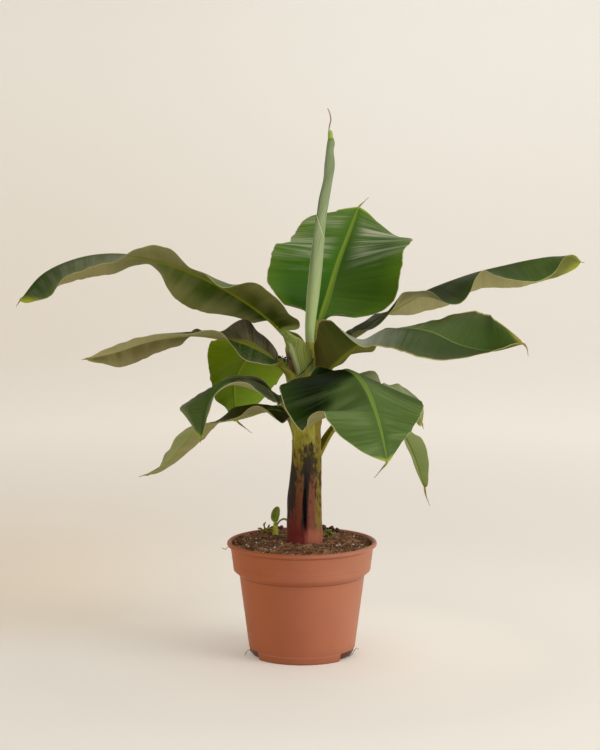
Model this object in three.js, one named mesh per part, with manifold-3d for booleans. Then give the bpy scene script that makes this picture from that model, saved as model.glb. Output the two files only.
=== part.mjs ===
// A young banana plant in a terracotta coloured grower's pot.
// Millimetres, +Z up. The origin is the centre of the pot's flat underside, -Y is the front.
import * as THREE from "three";
import { mergeVertices } from "three/addons/utils/BufferGeometryUtils.js";
import Module from "manifold-3d";

const wasm = await Module();
wasm.setup();

// Driving sizes.
const potHeight = 161;
const rimRadius = 105;
const collarRadius = 100;
const collarFoot = 121; // height where the collar turns in to the body
const bodyTop = 88; // body radius under the collar
const footRadius = 73;
const wall = 2.4;
const lipHeight = 7;
const collarDraft = 4; // how much narrower the collar is at its foot than under the lip
const shoulder = 6; // height over which the body widens into the collar
const footBevel = 1.5;
const drainAngles = [-164, -16, 90]; // middles of the three wide slots through the foot, in degrees
const drainHalf = 22; // half of the angle that a slot spans
const drainHeight = 7;
const drainDepth = 12; // how far a slot reaches in from the foot's edge
const potSides = 48;
const clearance = 0.3; // gap that every piece keeps to the piece that carries it
const soilEdge = 154; // soil level along the pot wall
const soilMound = 5; // how much higher the soil is round the trunk
const trunkFoot = 157; // flat cut of the trunk at soil level
const trunkSides = 24;
const baseLobe = 0.1; // swelling at the front right foot of the trunk, as a share of its radius
const baseLobeAt = 5.2; // its direction in radians
const baseLobeHeight = 45; // height over which it dies away
const trunkRidges = 0.05; // depth of the three soft ridges round the trunk, as a share of its radius
const trunkDepth = 0.92; // front to back size of the trunk as a share of its width
const spearSides = 12;
const spearSteps = 22;
const bladeShare = 0.0104; // blade thickness as a share of the leaf's length
const ribGroove = 0.15; // depth of the groove along a rib's top, as a share of its half width
const keelDepth = 0.9; // how deep a rib hangs below the blade, as a share of its half width
const leafSlant = 0.12; // how far a blade's edge lies ahead of its root on the rib
const widest = 0.42; // share of the blade's length at which it is widest
const roundBase = 2.4; // roundness of a blade's outline towards its foot, unless the leaf has its own
const roundTip = 2.1; // roundness towards its tip
const lobeShare = 0.3; // share of the blade over which a lobe at its foot dies away
const lobeWidth = 30; // blade width that carries the whole lobe
const stalkFold = 48; // angle in degrees of the sides of a leaf stalk's channel
const opening = 0.07; // share of the blade over which the channel opens into the blade
const threadShrink = 0.75; // each ring of the thread at a tip against the one before
const leafGap = 1.7 * clearance; // gap between the leaves where their stalks crowd
const sproutBlade = 1; // thickness of the shoots' leaves

// Trunk rings from the cut up to the crown: height, x of the centre, radius.
const trunkRings = [
  [157, 3, 25.4],
  [173, 3, 24.6],
  [195, 2.5, 23.8],
  [220, 2, 23.2],
  [250, 4, 21.8],
  [276, 6, 20.8],
  [304, 6, 20.2],
  [325, 5.5, 21],
  [345, 4.5, 22.2],
  [366, 3.5, 21.6],
  [385, 3, 19.6],
  [401, 4, 16.8],
  [416, 7, 13.4],
  [430, 10, 10.4],
  [441, 11, 8],
];

// The rolled new leaf: centre line and radii.
const spear = {
  path: [
    [11, 0, 441],
    [15, 4, 512],
    [22, 8, 595],
    [30, 10, 664],
    [39, 12, 729],
    [38, 12, 744],
    [36, 12, 763],
  ],
  radius: [5.4, 6.2, 8.2, 8.8, 7.8, 7.8, 7.4, 6.4, 4.4, 1.1, 0.7],
};

// Leaves. The spine runs from inside the trunk to the tip. stalk is the share of it without
// a blade, reach the half width, and fold and curl the angle in degrees at which each half
// leaves the rib and how much more it turns by its edge, at even stations from blade foot
// to tip. Positive lifts the edge. left and right are seen from the trunk, looking outward.
// base is the roundness of the outline at the foot, lobe how far back the edge reaches there,
// and nicks narrow the edge: place, depth and the shares over which it narrows and widens.
const leaves = [
  {
    name: "leaf_upper_left", stalk: 0.135, foot: 15, neck: 4.8, split: 0.56, stations: 26,
    spine: [
      [5, -6, 402], [0, -10, 422], [-23, -16, 453], [-55, -20, 484], [-110, -24, 520],
      [-167, -26, 546], [-215, -28, 560], [-262, -32, 565], [-309, -38, 558],
      [-354, -44, 537], [-384, -50, 502],
    ],
    tail: [[-389, -51, 494]],
    left: {
      reach: [92, 91, 90, 87, 88, 89, 90, 90, 90],
      fold: [18, 21, 22, 22, 20, 12, 8, 15, 15, 8, -4, -6, -10, -12, -25, -38, -28],
      curl: [0, 0, 0, -6, -38, -14, -4, 0, 0, 0, 0, 0, 0, 0, 0, 0, 0],
      base: 4, lobe: 16,
    },
    right: {
      reach: [90, 93, 97, 98, 90, 88, 88, 90, 90],
      fold: [-24, -25, -33, -29, -9, -24, -28, -30, -40],
      curl: [0],
    },
  },
  {
    name: "leaf_mid_left", stalk: 0.12, foot: 10, neck: 4.2, stations: 24,
    spine: [
      [-8, -20, 383], [-18, -26, 400], [-48, -42, 428], [-74, -52, 444], [-111, -64, 453],
      [-151, -74, 458], [-205, -85, 451], [-252, -90, 436], [-291, -92, 427],
    ],
    tail: [[-297, -93, 426]],
    left: {
      reach: [40, 44, 40, 40, 53, 62, 68, 74, 80],
      fold: [-28, -29, -36, -43, -33, -5, 21, 24, 23, 22, 23, 23, 23, 21, 18, 14, 10],
      curl: [0, 0, 0, -10, -30, -20, -10, 0, 0],
    },
    right: {
      reach: [59, 64, 65, 52, 44, 72, 83, 84, 84],
      fold: [34, 35, 29, 33, 7, 3, 3, 3, -24, -25, -24, -26, -28, -31, -31, -25, -24],
      curl: [0],
    },
  },
  {
    name: "leaf_back_left", stalk: 0.2, foot: 8, neck: 4, split: 0.5, stations: 16,
    spine: [
      [-6, 10, 361], [-25, 60, 400], [-58, 120, 420], [-83, 165, 397], [-100, 185, 358],
      [-96, 190, 304],
    ],
    tail: [[-84, 192, 293], [-74, 193, 285]],
    left: {
      reach: [40, 84, 84, 76, 74, 79, 83, 87, 83],
      fold: [46, 36, 14, 7, -19, -32, -42, -54, -56],
      curl: [0],
    },
    right: {
      reach: [86, 78, 66, 58, 62, 72, 80, 86, 88],
      fold: [-3, -22, -38, -40, -27, -10, -4, 2, 30],
      curl: [0],
    },
  },
  {
    name: "leaf_front_left", stalk: 0.15, foot: 8, neck: 4, split: 0.55, stations: 20,
    spine: [
      [-11, -14, 345], [-46, -60, 381], [-83, -120, 405], [-110, -165, 401],
      [-125, -190, 376], [-131, -200, 335],
    ],
    tail: [[-133, -200, 329]],
    left: {
      reach: [53, 43, 38, 37, 45, 55, 64, 69, 70],
      fold: [-60, -57, -43, -44, -43, -41, -36, -29, -22, -15, -5, 16, 34, 47, 49, 52, 54],
      curl: [0],
    },
    right: {
      reach: [46, 56, 65, 69, 71, 72, 74, 74, 73],
      fold: [52, 46, 24, 9, -9, -17, -22, -25, -28, -29, -29, -27, -23, -19, -25, -32, -40],
      curl: [0],
    },
  },
  {
    name: "leaf_low_left", stalk: 0.12, foot: 7, neck: 3.8, split: 0.42, stations: 22,
    spine: [
      [-7, 4, 314], [-17, 14, 332], [-32, 26, 341], [-53, 38, 340], [-73, 50, 332],
      [-90, 60, 326], [-109, 68, 322], [-133, 80, 315], [-152, 88, 305], [-170, 96, 283],
      [-194, 106, 257], [-222, 115, 236],
    ],
    tail: [[-230, 118, 234], [-237, 120, 231]],
    left: {
      reach: [67, 72, 59, 45, 45, 57, 61, 60, 55],
      fold: [-30, -19, 11, 0, 1, 2, 1, 3, 4, 1, -3, -6, -6, -11, -13, -9, -2],
      curl: [0],
      lobe: 44,
    },
    right: {
      reach: [48, 53, 54, 45, 45, 60, 64, 64, 64],
      fold: [4, 6, 4, 7, 13, 19, 20, 16, 0, -4, -2, 0, 1, 1, -1, -4, -14],
      curl: [0],
    },
  },
  {
    name: "leaf_front", stalk: 0.25, foot: 9, neck: 4.6, split: 0.49, stations: 20,
    spine: [
      [12, -6, 360], [23, -15, 376], [41, -40, 401], [65, -95, 411], [86, -160, 393],
      [101, -190, 351], [111, -200, 304],
    ],
    tail: [[103, -202, 294], [94, -203, 283]],
    left: {
      reach: [30, 77, 100, 100, 97, 100, 100, 99, 101],
      fold: [-34, -27, -24, -21, -25, -23, -30, -33, -50],
      curl: [0],
    },
    right: {
      reach: [87, 97, 109, 111, 105, 97, 115, 109, 100],
      fold: [-16, -11, -7, -7, -7, -8, -13, -24, -40, -39, -26, 13, 19, 21, 28, 34, 45],
      curl: [0],
    },
  },
  {
    name: "leaf_back_right", stalk: 0.2, foot: 8, neck: 3.8, split: 0.55, stations: 18,
    spine: [
      [14, 14, 358], [31, 26, 373], [61, 50, 379], [94, 78, 371], [129, 100, 361],
      [159, 114, 341], [174, 120, 309],
    ],
    tail: [[176, 121, 301]],
    left: {
      reach: [47, 44, 42, 36, 32, 34, 56, 70, 70],
      fold: [17, 16, 17, 18, 17, 21, 26, 41, 50, 26, 22, 30, 29, 33, 44, 50, 50],
      curl: [0],
      lobe: -45, nicks: [[0.5, 0.8, 0.012, 0.08]],
    },
    right: {
      reach: [60, 60, 60, 60, 60, 62, 65, 68, 68],
      fold: [-20, -19, -18, -17, -18, -23, -33, -42, -45],
      curl: [0],
    },
  },
  {
    name: "leaf_low_right", stalk: 0.3, foot: 7, neck: 4, split: 0.52, stations: 14,
    spine: [
      [11, 12, 245], [22, 16, 278], [45, 30, 316], [77, 58, 335], [112, 84, 331],
      [141, 102, 306], [163, 112, 265], [178, 116, 217],
    ],
    tail: [[180, 117, 205], [186, 118, 189]],
    left: {
      reach: [50, 50, 50, 46, 40, 35, 40, 47, 52],
      fold: [-35, -31, -25, -13, 3, 18, 19, 21, 23],
      curl: [0],
    },
    right: {
      reach: [50],
      fold: [-10, -11, -13, -13, -11, -3, -5, -11, -12],
      curl: [0],
    },
  },
  {
    name: "leaf_mid_right", stalk: 0.05, foot: 9, neck: 4.8, stations: 24,
    spine: [
      [8, -4, 377], [24, -10, 392], [59, -25, 427], [90, -40, 450], [133, -55, 465],
      [174, -66, 461], [214, -76, 444], [254, -82, 437], [298, -85, 447],
    ],
    tail: [[303, -85, 441], [305, -85, 430]],
    left: {
      reach: [80, 83, 75, 70, 82, 89, 89, 92, 93],
      fold: [-12, -5, -2, -15, -1, 2, -3, -3, 1, 6, 18, 31, 36, 41, 51, 49, 20],
      curl: [0],
    },
    right: {
      reach: [60, 63, 60, 60, 85, 91, 90, 89, 88],
      fold: [95, 99, 91, 71, 49, -4, -14, -16, -16, -16, -16, -12, -5, 2, 5, 6, 11],
      curl: [0],
      base: 6, lobe: -19,
    },
  },
  {
    name: "leaf_upper_right", stalk: 0.16, foot: 8, neck: 4.2, stations: 28,
    spine: [
      [8, 5, 403], [22, 13, 416], [53, 30, 435], [84, 45, 451], [110, 58, 469],
      [156, 78, 495], [182, 85, 507], [218, 96, 520], [251, 104, 530], [291, 112, 539],
      [331, 119, 547], [371, 126, 551], [402, 130, 543],
    ],
    tail: [[407, 131, 542]],
    left: {
      reach: [47, 44, 53, 50, 42, 48, 64, 73, 72],
      fold: [-9, 10, 0, -5, -25, -41, -49, -58, -62, -48, -45, -48, -52, -51, -53, -60, -60],
      curl: [0],
    },
    right: {
      reach: [46, 67, 81, 83, 74, 69, 69, 73, 74],
      fold: [-12, 5, 8, 16, 26, 18, 10, -5, -13, -7, 4, 10, -1, -10, -17, -25, -28, -20, 2, 8, -7],
      curl: [0],
    },
  },
  {
    name: "leaf_back", stalk: 0.195, foot: 8, neck: 4.6, stations: 22,
    spine: [
      [9, 3, 407], [14, 12, 426], [22, 30, 454], [37, 75, 496], [53, 135, 543],
      [71, 200, 585], [85, 270, 616],
    ],
    tail: [[95, 285, 625], [101, 292, 630]],
    left: {
      reach: [99, 102, 102, 101, 101, 103, 106, 107, 90],
      fold: [3, 10, 3, 1, 6, -4, -6, 3, 0],
      curl: [0],
      nicks: [[0.63, 0.1, 0.02, 0.05], [0.945, 0.3, 0.03, 0.02]],
    },
    right: {
      reach: [39, 81, 102, 108, 107, 105, 98, 81, 56],
      fold: [-17, -17, -19, -13, 7, 14, 18, 15, 11, 7, 1, -6, -14, -22, -26, -29, -25],
      curl: [0],
      base: 4,
    },
  },
];

const sprouts = [
  {
    name: "sprout_left", stem: [[-39, 56, 156], [-38, 57, 165], [-37, 58, 176]], radius: 3.2,
    blades: [
      { spine: [[-37, 58, 172], [-36, 59, 181], [-35, 58, 190], [-34, 57, 199]], reach: 6.5, fold: [10] },
      { spine: [[-38, 57, 168], [-33, 58, 176], [-26, 58, 180], [-18, 57, 178]], reach: 5, fold: [15] },
    ],
  },
  {
    name: "sprout_right", stem: [[40, 50, 156], [40, 51, 160], [40, 52, 165]], radius: 2.6,
    blades: [{ spine: [[40, 52, 161], [42, 52, 167], [44, 51, 172], [47, 49, 175]], reach: 4, fold: [25] }],
  },
];

const v3 = (p) => new THREE.Vector3(...p);
const mix = (a, b, t) => a + (b - a) * t;
const clamp01 = (t) => Math.min(1, Math.max(0, t));
const smooth = (t) => clamp01(t) ** 2 * (3 - 2 * clamp01(t));
const rad = THREE.MathUtils.degToRad;

// Smooth value at t in 0..1 through evenly spaced stations.
function along(values, t) {
  if (values.length === 1) return values[0];
  const n = values.length - 1;
  const x = clamp01(t) * n;
  const i = Math.min(Math.floor(x), n - 1);
  const f = x - i;
  const b = values[i];
  const c = values[i + 1];
  const a = i > 0 ? values[i - 1] : 2 * b - c;
  const d = i + 2 <= n ? values[i + 2] : 2 * c - b;
  const square = 2 * a - 5 * b + 4 * c - d;
  const cube = 3 * b - a - 3 * c + d;
  return 0.5 * (2 * b + (c - a) * f + square * f ** 2 + cube * f ** 3);
}

// Closed body from rings of equally many points, its ends closed by the given cap triangles.
function loft(rings, caps) {
  const n = rings[0].length;
  const index = [];
  rings.slice(1).forEach((_, k) => {
    for (let i = 0; i < n; i++) {
      const a = k * n + i;
      const b = k * n + ((i + 1) % n);
      index.push(a, b, b + n, a, b + n, a + n);
    }
  });
  const last = (rings.length - 1) * n;
  for (const [a, b, c] of caps) index.push(a, c, b, last + a, last + b, last + c);
  const geometry = new THREE.BufferGeometry().setFromPoints(rings.flat());
  geometry.setIndex(index);
  return geometry;
}

// Fan for a round ring, and a strip for a blade's ring whose first half is its upper side.
const fanCap = (n) => Array.from({ length: n - 2 }, (_, i) => [0, i + 1, i + 2]);
function stripCap(n) {
  const caps = [];
  for (let i = 0; i < n / 2 - 1; i++) caps.push([i, i + 1, n - 2 - i], [i, n - 2 - i, n - 1 - i]);
  return caps;
}

// A geometry as a solid, its faces turned outwards if they point in.
function solid(geometry) {
  const bare = geometry.index ? geometry.toNonIndexed() : geometry;
  for (const key of Object.keys(bare.attributes)) if (key !== "position") bare.deleteAttribute(key);
  const merged = mergeVertices(bare, 1e-4);
  const p = merged.attributes.position;
  const t = Uint32Array.from(merged.index.array);
  const [a, b, c] = [new THREE.Vector3(), new THREE.Vector3(), new THREE.Vector3()];
  let volume = 0;
  for (let i = 0; i < t.length; i += 3) {
    a.fromBufferAttribute(p, t[i]);
    b.fromBufferAttribute(p, t[i + 1]);
    c.fromBufferAttribute(p, t[i + 2]);
    volume += a.dot(b.cross(c));
  }
  if (volume < 0) for (let i = 0; i < t.length; i += 3) [t[i + 1], t[i + 2]] = [t[i + 2], t[i + 1]];
  return new wasm.Manifold(new wasm.Mesh({ numProp: 3, vertProperties: p.array, triVerts: t }));
}

// The largest body of a solid that a cut may have left with scraps.
const largest = (s) => s.decompose().reduce((a, b) => (a.volume() > b.volume() ? a : b));

function meshOf(name, made, material) {
  const m = made.getMesh();
  const geometry = new THREE.BufferGeometry();
  geometry.setAttribute("position", new THREE.BufferAttribute(Float32Array.from(m.vertProperties), 3));
  geometry.setIndex(new THREE.BufferAttribute(Uint32Array.from(m.triVerts), 1));
  geometry.computeVertexNormals();
  const mesh = new THREE.Mesh(geometry, material);
  mesh.name = name;
  return mesh;
}

// Inside of the pot's wall from its floor up to the lip: radius and height.
const lipFoot = potHeight - lipHeight;
const wallInside = [
  [footRadius - wall, wall],
  [bodyTop - wall, collarFoot - shoulder - 2],
  [collarRadius - collarDraft - wall, collarFoot - 1],
  [collarRadius - wall, lipFoot - 2],
];

function insideRadius(z) {
  const k = Math.max(1, wallInside.findIndex((p) => p[1] >= z));
  const [[r0, z0], [r1, z1]] = [wallInside[k - 1], wallInside[k]];
  return mix(r0, r1, (z - z0) / (z1 - z0));
}

// Pot: a turned shell with collar and rolled lip, and slots through its foot for drainage.
function pot() {
  const profile = [
    [0, 0], [footRadius - footBevel, 0], [footRadius, footBevel],
    [bodyTop, collarFoot - shoulder], [collarRadius - collarDraft, collarFoot],
    [collarRadius, lipFoot - 1], [rimRadius - 0.8, lipFoot], [rimRadius, lipFoot + 2.5],
    [rimRadius - 1.4, potHeight - 1], [rimRadius - 3.6, potHeight],
    ...wallInside.toReversed(), [0, wall],
  ].map(([r, z]) => new THREE.Vector2(r, z));
  let body = solid(new THREE.LatheGeometry(profile, potSides).rotateX(Math.PI / 2));
  for (const angle of drainAngles) {
    const [from, to] = [rad(angle - drainHalf), rad(angle + drainHalf)];
    const sector = new THREE.Shape();
    sector.absarc(0, 0, footRadius + drainDepth, from, to, false);
    sector.absarc(0, 0, footRadius - drainDepth, to, from, true);
    const depth = 2 * drainHeight;
    const slot = new THREE.ExtrudeGeometry(sector, { depth, bevelEnabled: false, curveSegments: 8 });
    body = body.subtract(solid(slot.translate(0, 0, -drainHeight)));
  }
  return largest(body);
}

// Soil fills the pot and rises a little towards the trunk.
function soil() {
  const floor = wall + clearance;
  const heights = [floor, ...wallInside.slice(1, 3).map((p) => p[1]), soilEdge];
  const profile = [[0, floor], ...heights.map((z) => [insideRadius(z) - 1.5 * clearance, z])];
  for (const share of [0.86, 0.68, 0.5, 0.3, 0]) {
    const rise = soilMound * smooth((0.95 - share) / 0.6);
    profile.push([insideRadius(soilEdge) * share, soilEdge + rise]);
  }
  const made = new THREE.LatheGeometry(profile.map(([r, z]) => new THREE.Vector2(r, z)), potSides);
  return solid(made.rotateX(Math.PI / 2));
}

// Trunk of clasping leaf bases, swollen at the front right foot. grow moves its skin out.
function trunk(grow = 0) {
  const rings = trunkRings.map(([z, x, r], k) => {
    const low = smooth(1 - (z - trunkFoot) / baseLobeHeight);
    const ends = k === 0 ? -grow : k === trunkRings.length - 1 ? grow : 0;
    return Array.from({ length: trunkSides }, (_, i) => {
      const a = (i / trunkSides) * 2 * Math.PI;
      const swelling = low * baseLobe * Math.exp(-(((a - baseLobeAt) / 0.5) ** 2));
      const reach = r * (1 + trunkRidges * Math.cos(3 * a + 0.6) + swelling) + grow;
      return new THREE.Vector3(x + reach * Math.cos(a), trunkDepth * reach * Math.sin(a), z + ends);
    });
  });
  return solid(loft(rings, fanCap(trunkSides)));
}

// Tube with a changing radius along a curve, for the rolled leaf and the sprout stems.
function tube(path, radii, sides, steps, grow = 0) {
  const curve = new THREE.CatmullRomCurve3(path.map(v3), false, "centripetal");
  curve.arcLengthDivisions = 400;
  const side = new THREE.Vector3(1, 0, 0);
  const rings = Array.from({ length: steps + 1 }, (_, k) => {
    const t = k / steps;
    const centre = curve.getPointAt(t);
    const ahead = curve.getTangentAt(t);
    const up = new THREE.Vector3().crossVectors(ahead, side).normalize();
    const across = new THREE.Vector3().crossVectors(up, ahead);
    const r = along(radii, t) + grow;
    return Array.from({ length: sides }, (_, i) => {
      const a = (i / sides) * 2 * Math.PI;
      return centre.clone().addScaledVector(across, r * Math.cos(a)).addScaledVector(up, r * Math.sin(a));
    });
  });
  return solid(loft(rings, fanCap(sides)));
}

// Half width of a blade at u, 0 at its foot and 1 at its tip, as a share of its reach.
function outline(u, base = roundBase) {
  const r = u < widest ? (widest - u) / widest : (u - widest) / (1 - widest);
  return Math.sqrt(Math.max(0, 1 - r ** (u < widest ? base : roundTip)));
}

// What the nicks leave of a blade's width at u.
const cut = (nicks, u) => nicks.reduce(
  (left, [at, depth, rise, fall]) => left - depth * Math.exp(-Math.abs(u - at) / (u < at ? rise : fall)), 1);

// One leaf as rings across its spine from share `from` to share `to` of its length.
function leaf(spec, from, to, grow = 0) {
  const curve = new THREE.CatmullRomCurve3(spec.spine.map(v3), false, "centripetal");
  curve.arcLengthDivisions = 400;
  const length = curve.getLength();
  const span = v3(spec.spine.at(-1)).sub(v3(spec.spine[0]));
  const side = new THREE.Vector3(span.y, -span.x, 0).normalize();
  const foot = spec.stalk;
  const curled = [spec.left, spec.right].some((h) => h.curl.length > 1);
  const rows = curled ? [0, 0.34, 0.68, 1] : [0, 0.5, 1];
  const half = (spec.thick ?? length * bladeShare) / 2 + grow;

  const shares = foot > 0 ? [0, 0.3, 0.6, 0.85].map((t) => t * foot) : [];
  for (let k = 0; k <= spec.stations; k++) {
    const q = k / spec.stations;
    shares.push(mix(foot, 1, 0.5 * (0.5 - 0.5 * Math.cos(Math.PI * q)) + 0.5 * q));
  }
  const used = [from, ...shares.filter((s) => s > from + 0.008 && s < to - 0.008), to];

  const ringAt = (centre, ahead, s, shift) => {
    const u = clamp01((s - foot) / (1 - foot));
    const onBlade = smooth((s - foot) / (1 - foot) / opening);
    const up = new THREE.Vector3().crossVectors(side, ahead).normalize();
    const across = new THREE.Vector3().crossVectors(ahead, up);
    const stalkRib = mix(spec.foot, spec.neck, smooth(s / foot) ** 0.7);
    const rib = (s < foot ? stalkRib : mix(spec.neck, 1, u)) + grow;
    const point = (a, b, forward) => centre.clone().addScaledVector(across, a)
      .addScaledVector(up, b).addScaledVector(ahead, forward + shift);
    const top = [];
    const bottom = [];
    for (const [hand, sign] of [[spec.left, -1], [spec.right, 1]]) {
      const width = along(hand.reach, u) * outline(u, hand.base) * cut(hand.nicks ?? [], u);
      const blade = s >= foot ? Math.max(0, width - rib) : 0;
      const wing = Math.max(s < foot ? rib * 0.5 : mix(rib * 0.5, 0.4, u), blade) + grow;
      const fold = rad(mix(stalkFold, along(hand.fold, u), onBlade));
      const curl = rad(along(hand.curl, u) * onBlade) || 1e-4;
      const lobe = (hand.lobe ?? 0) * smooth(blade / lobeWidth) * smooth(1 - u / lobeShare);
      const order = sign < 0 ? [...rows].reverse() : rows;
      for (const v of order) {
        const turn = fold + curl * v;
        const a = sign * (rib + (wing * (Math.sin(turn) - Math.sin(fold))) / curl);
        const b = (wing * (Math.cos(fold) - Math.cos(turn))) / curl;
        const forward = leafSlant * v * (1 - u) * blade - lobe * v ** 1.5;
        const nx = -sign * Math.sin(turn) * half;
        const nz = Math.cos(turn) * half;
        top.push(point(a + nx, b + nz, forward));
        bottom.push(point(a - nx, b - nz, forward));
      }
      if (sign < 0) {
        const keel = s < foot ? rib * keelDepth : mix(spec.neck * keelDepth, 0.3, u);
        top.push(point(0, half - ribGroove * rib, 0));
        bottom.push(point(0, -half - keel, 0));
      }
    }
    return [...top, ...bottom.reverse()];
  };

  const centreAt = (s) => curve.getPointAt(clamp01(s));
  const aheadAt = (s) => centreAt(s + 0.004).sub(centreAt(s - 0.004)).normalize();
  const rings = used.map((s) => {
    const shift = s === from && from > 0 ? clearance / 2 : s === to && to < 1 ? -clearance / 2 : 0;
    return ringAt(centreAt(s), aheadAt(s), s, shift);
  });
  if (to >= 1) { // the thin thread at the tip, its rings shrunk from the last one
    const end = centreAt(1);
    const last = rings.at(-1);
    (spec.tail ?? []).forEach((p, k) => {
      const scale = threadShrink ** (k + 1);
      rings.push(last.map((q) => q.clone().sub(end).multiplyScalar(scale).add(v3(p))));
    });
  }
  return solid(loft(rings, stripCap(rings[0].length)));
}

const terracotta = new THREE.MeshStandardMaterial({ color: 0xb4633f, roughness: 0.5 });
const earth = new THREE.MeshStandardMaterial({ color: 0x4a3526, roughness: 1 });
const trunkSkin = new THREE.MeshStandardMaterial({ color: 0x8a7a3a, roughness: 0.6 });
const rolled = new THREE.MeshStandardMaterial({ color: 0x9aae7c, roughness: 0.5 });
const leafGreen = new THREE.MeshStandardMaterial({ color: 0x3d6b2c, roughness: 0.45 });
const sproutGreen = new THREE.MeshStandardMaterial({ color: 0x7d9a2f, roughness: 0.5 });

const plant = new THREE.Group();
const grownTrunk = trunk(clearance);
const spearBody = tube(spear.path, spear.radius, spearSides, spearSteps).subtract(grownTrunk);
const grownSpear = tube(spear.path, spear.radius, spearSides, spearSteps, clearance);
const taken = [grownTrunk, grownSpear];

plant.add(meshOf("trunk", trunk(), trunkSkin));
plant.add(meshOf("rolled_leaf", largest(spearBody), rolled));
for (const spec of leaves) {
  const cuts = spec.split ? [[0, spec.split, "_stalk"], [spec.split, 1, "_tip"]] : [[0, 1, ""]];
  for (const [from, to, ending] of cuts) {
    let body = leaf(spec, from, to);
    for (const other of taken) body = body.subtract(other);
    plant.add(meshOf(spec.name + ending, largest(body), leafGreen));
  }
  taken.push(leaf(spec, 0, 1, leafGap));
}

let bed = soil().subtract(grownTrunk);
for (const spec of sprouts) {
  const build = (grow) => {
    let body = tube(spec.stem, [spec.radius, spec.radius * 0.9, spec.radius * 0.5], 10, 6, grow);
    for (const blade of spec.blades) {
      body = body.add(leaf({
        spine: blade.spine, stalk: 0, foot: 1.6, neck: 1.5, stations: 8, thick: sproutBlade,
        left: { reach: [blade.reach], fold: blade.fold, curl: [0] },
        right: { reach: [blade.reach], fold: blade.fold, curl: [0] },
      }, 0, 1, grow));
    }
    return body;
  };
  bed = bed.subtract(build(clearance));
  plant.add(meshOf(spec.name, largest(build(0)), sproutGreen));
}
plant.add(meshOf("soil", largest(bed), earth));
plant.add(meshOf("pot", pot(), terracotta));

export default plant;
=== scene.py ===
import math
import bpy
import numpy as np
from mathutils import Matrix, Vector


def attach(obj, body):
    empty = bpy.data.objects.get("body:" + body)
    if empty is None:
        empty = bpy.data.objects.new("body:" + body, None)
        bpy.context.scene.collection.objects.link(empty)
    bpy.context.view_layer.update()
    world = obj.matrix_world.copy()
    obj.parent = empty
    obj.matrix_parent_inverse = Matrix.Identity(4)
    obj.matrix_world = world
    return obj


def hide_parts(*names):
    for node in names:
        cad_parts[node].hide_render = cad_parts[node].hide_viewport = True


# A young banana plant in a terracotta coloured nursery pot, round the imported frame.
# Shapes are worked out in millimetres and put into the meshes in metres.
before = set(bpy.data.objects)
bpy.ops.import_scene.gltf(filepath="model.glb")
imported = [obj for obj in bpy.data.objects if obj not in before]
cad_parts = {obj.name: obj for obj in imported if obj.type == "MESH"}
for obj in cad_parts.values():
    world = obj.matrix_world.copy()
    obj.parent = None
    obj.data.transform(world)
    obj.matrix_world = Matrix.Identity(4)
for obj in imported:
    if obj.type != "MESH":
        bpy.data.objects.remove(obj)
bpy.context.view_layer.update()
metres = 0.001
print("frame loaded:", len(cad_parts), "nodes")


# Smooth step: 3t^2 - 2t^3 for t held between 0 and 1.
def smooth(t):
    t = np.clip(t, 0, 1)
    return t * t * (3 - 2 * t)


def between(a, b, t):
    return a + (b - a) * t


def unit(v):
    return v / np.linalg.norm(v, axis=-1, keepdims=True)


# Uniform Catmull-Rom value at t in 0..1 through evenly spaced stations.
def along(values, t):
    v = np.asarray(values, float)
    if len(v) == 1:
        return np.full(np.shape(t), v[0])
    x = np.clip(t, 0, 1) * (len(v) - 1)
    i = np.minimum(x.astype(int), len(v) - 2)
    f = x - i
    e = np.concatenate([[2 * v[0] - v[1]], v, [2 * v[-1] - v[-2]]])
    a, b, c, d = e[i], e[i + 1], e[i + 2], e[i + 3]
    square = 2 * a - 5 * b + 4 * c - d
    cube = 3 * b - a - 3 * c + d
    return 0.5 * (2 * b + (c - a) * f + square * f**2 + cube * f**3)


# Centripetal Catmull-Rom curve through points, read at shares 0..1 of its length.
# Columns after the third, such as a radius, are carried along with the place.
def throughPoints(points, share):
    p = np.asarray(points, float)
    p = np.vstack([2 * p[0] - p[1], p, 2 * p[-1] - p[-2]])
    t = np.linspace(0, 1, 60, endpoint=False)[:, None]
    pieces = []
    for i in range(1, len(p) - 2):
        x0, x1, x2, x3 = p[i - 1], p[i], p[i + 1], p[i + 2]
        d0, d1, d2 = (np.sqrt(np.linalg.norm((b - a)[:3])) for a, b in ((x0, x1), (x1, x2), (x2, x3)))
        m1 = ((x1 - x0) / d0 - (x2 - x0) / (d0 + d1) + (x2 - x1) / d1) * d1
        m2 = ((x2 - x1) / d1 - (x3 - x1) / (d1 + d2) + (x3 - x2) / d2) * d1
        pieces.append(x1 + m1 * t + (3 * (x2 - x1) - 2 * m1 - m2) * t**2 + (2 * (x1 - x2) + m1 + m2) * t**3)
    dense = np.vstack(pieces + [p[-2][None]])
    reach = np.concatenate([[0], np.cumsum(np.linalg.norm(np.diff(dense[:, :3], axis=0), axis=1))])
    at = np.clip(share, 0, 1) * reach[-1]
    return np.stack([np.interp(at, reach, dense[:, k]) for k in range(p.shape[1])], -1), reach[-1]


# Value noise: random heights on a lattice of the given cell, joined by smooth steps.
def patchNoise(x, y, cell, seed):
    table = np.random.default_rng(seed).random((64, 64))
    gx, gy = np.asarray(x) / cell, np.asarray(y) / cell
    ix, iy = np.floor(gx).astype(int), np.floor(gy).astype(int)
    fx, fy = smooth(gx - ix), smooth(gy - iy)
    low = between(table[ix % 64, iy % 64], table[(ix + 1) % 64, iy % 64], fx)
    high = between(table[ix % 64, (iy + 1) % 64], table[(ix + 1) % 64, (iy + 1) % 64], fx)
    return between(low, high, fy) * 2 - 1


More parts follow.
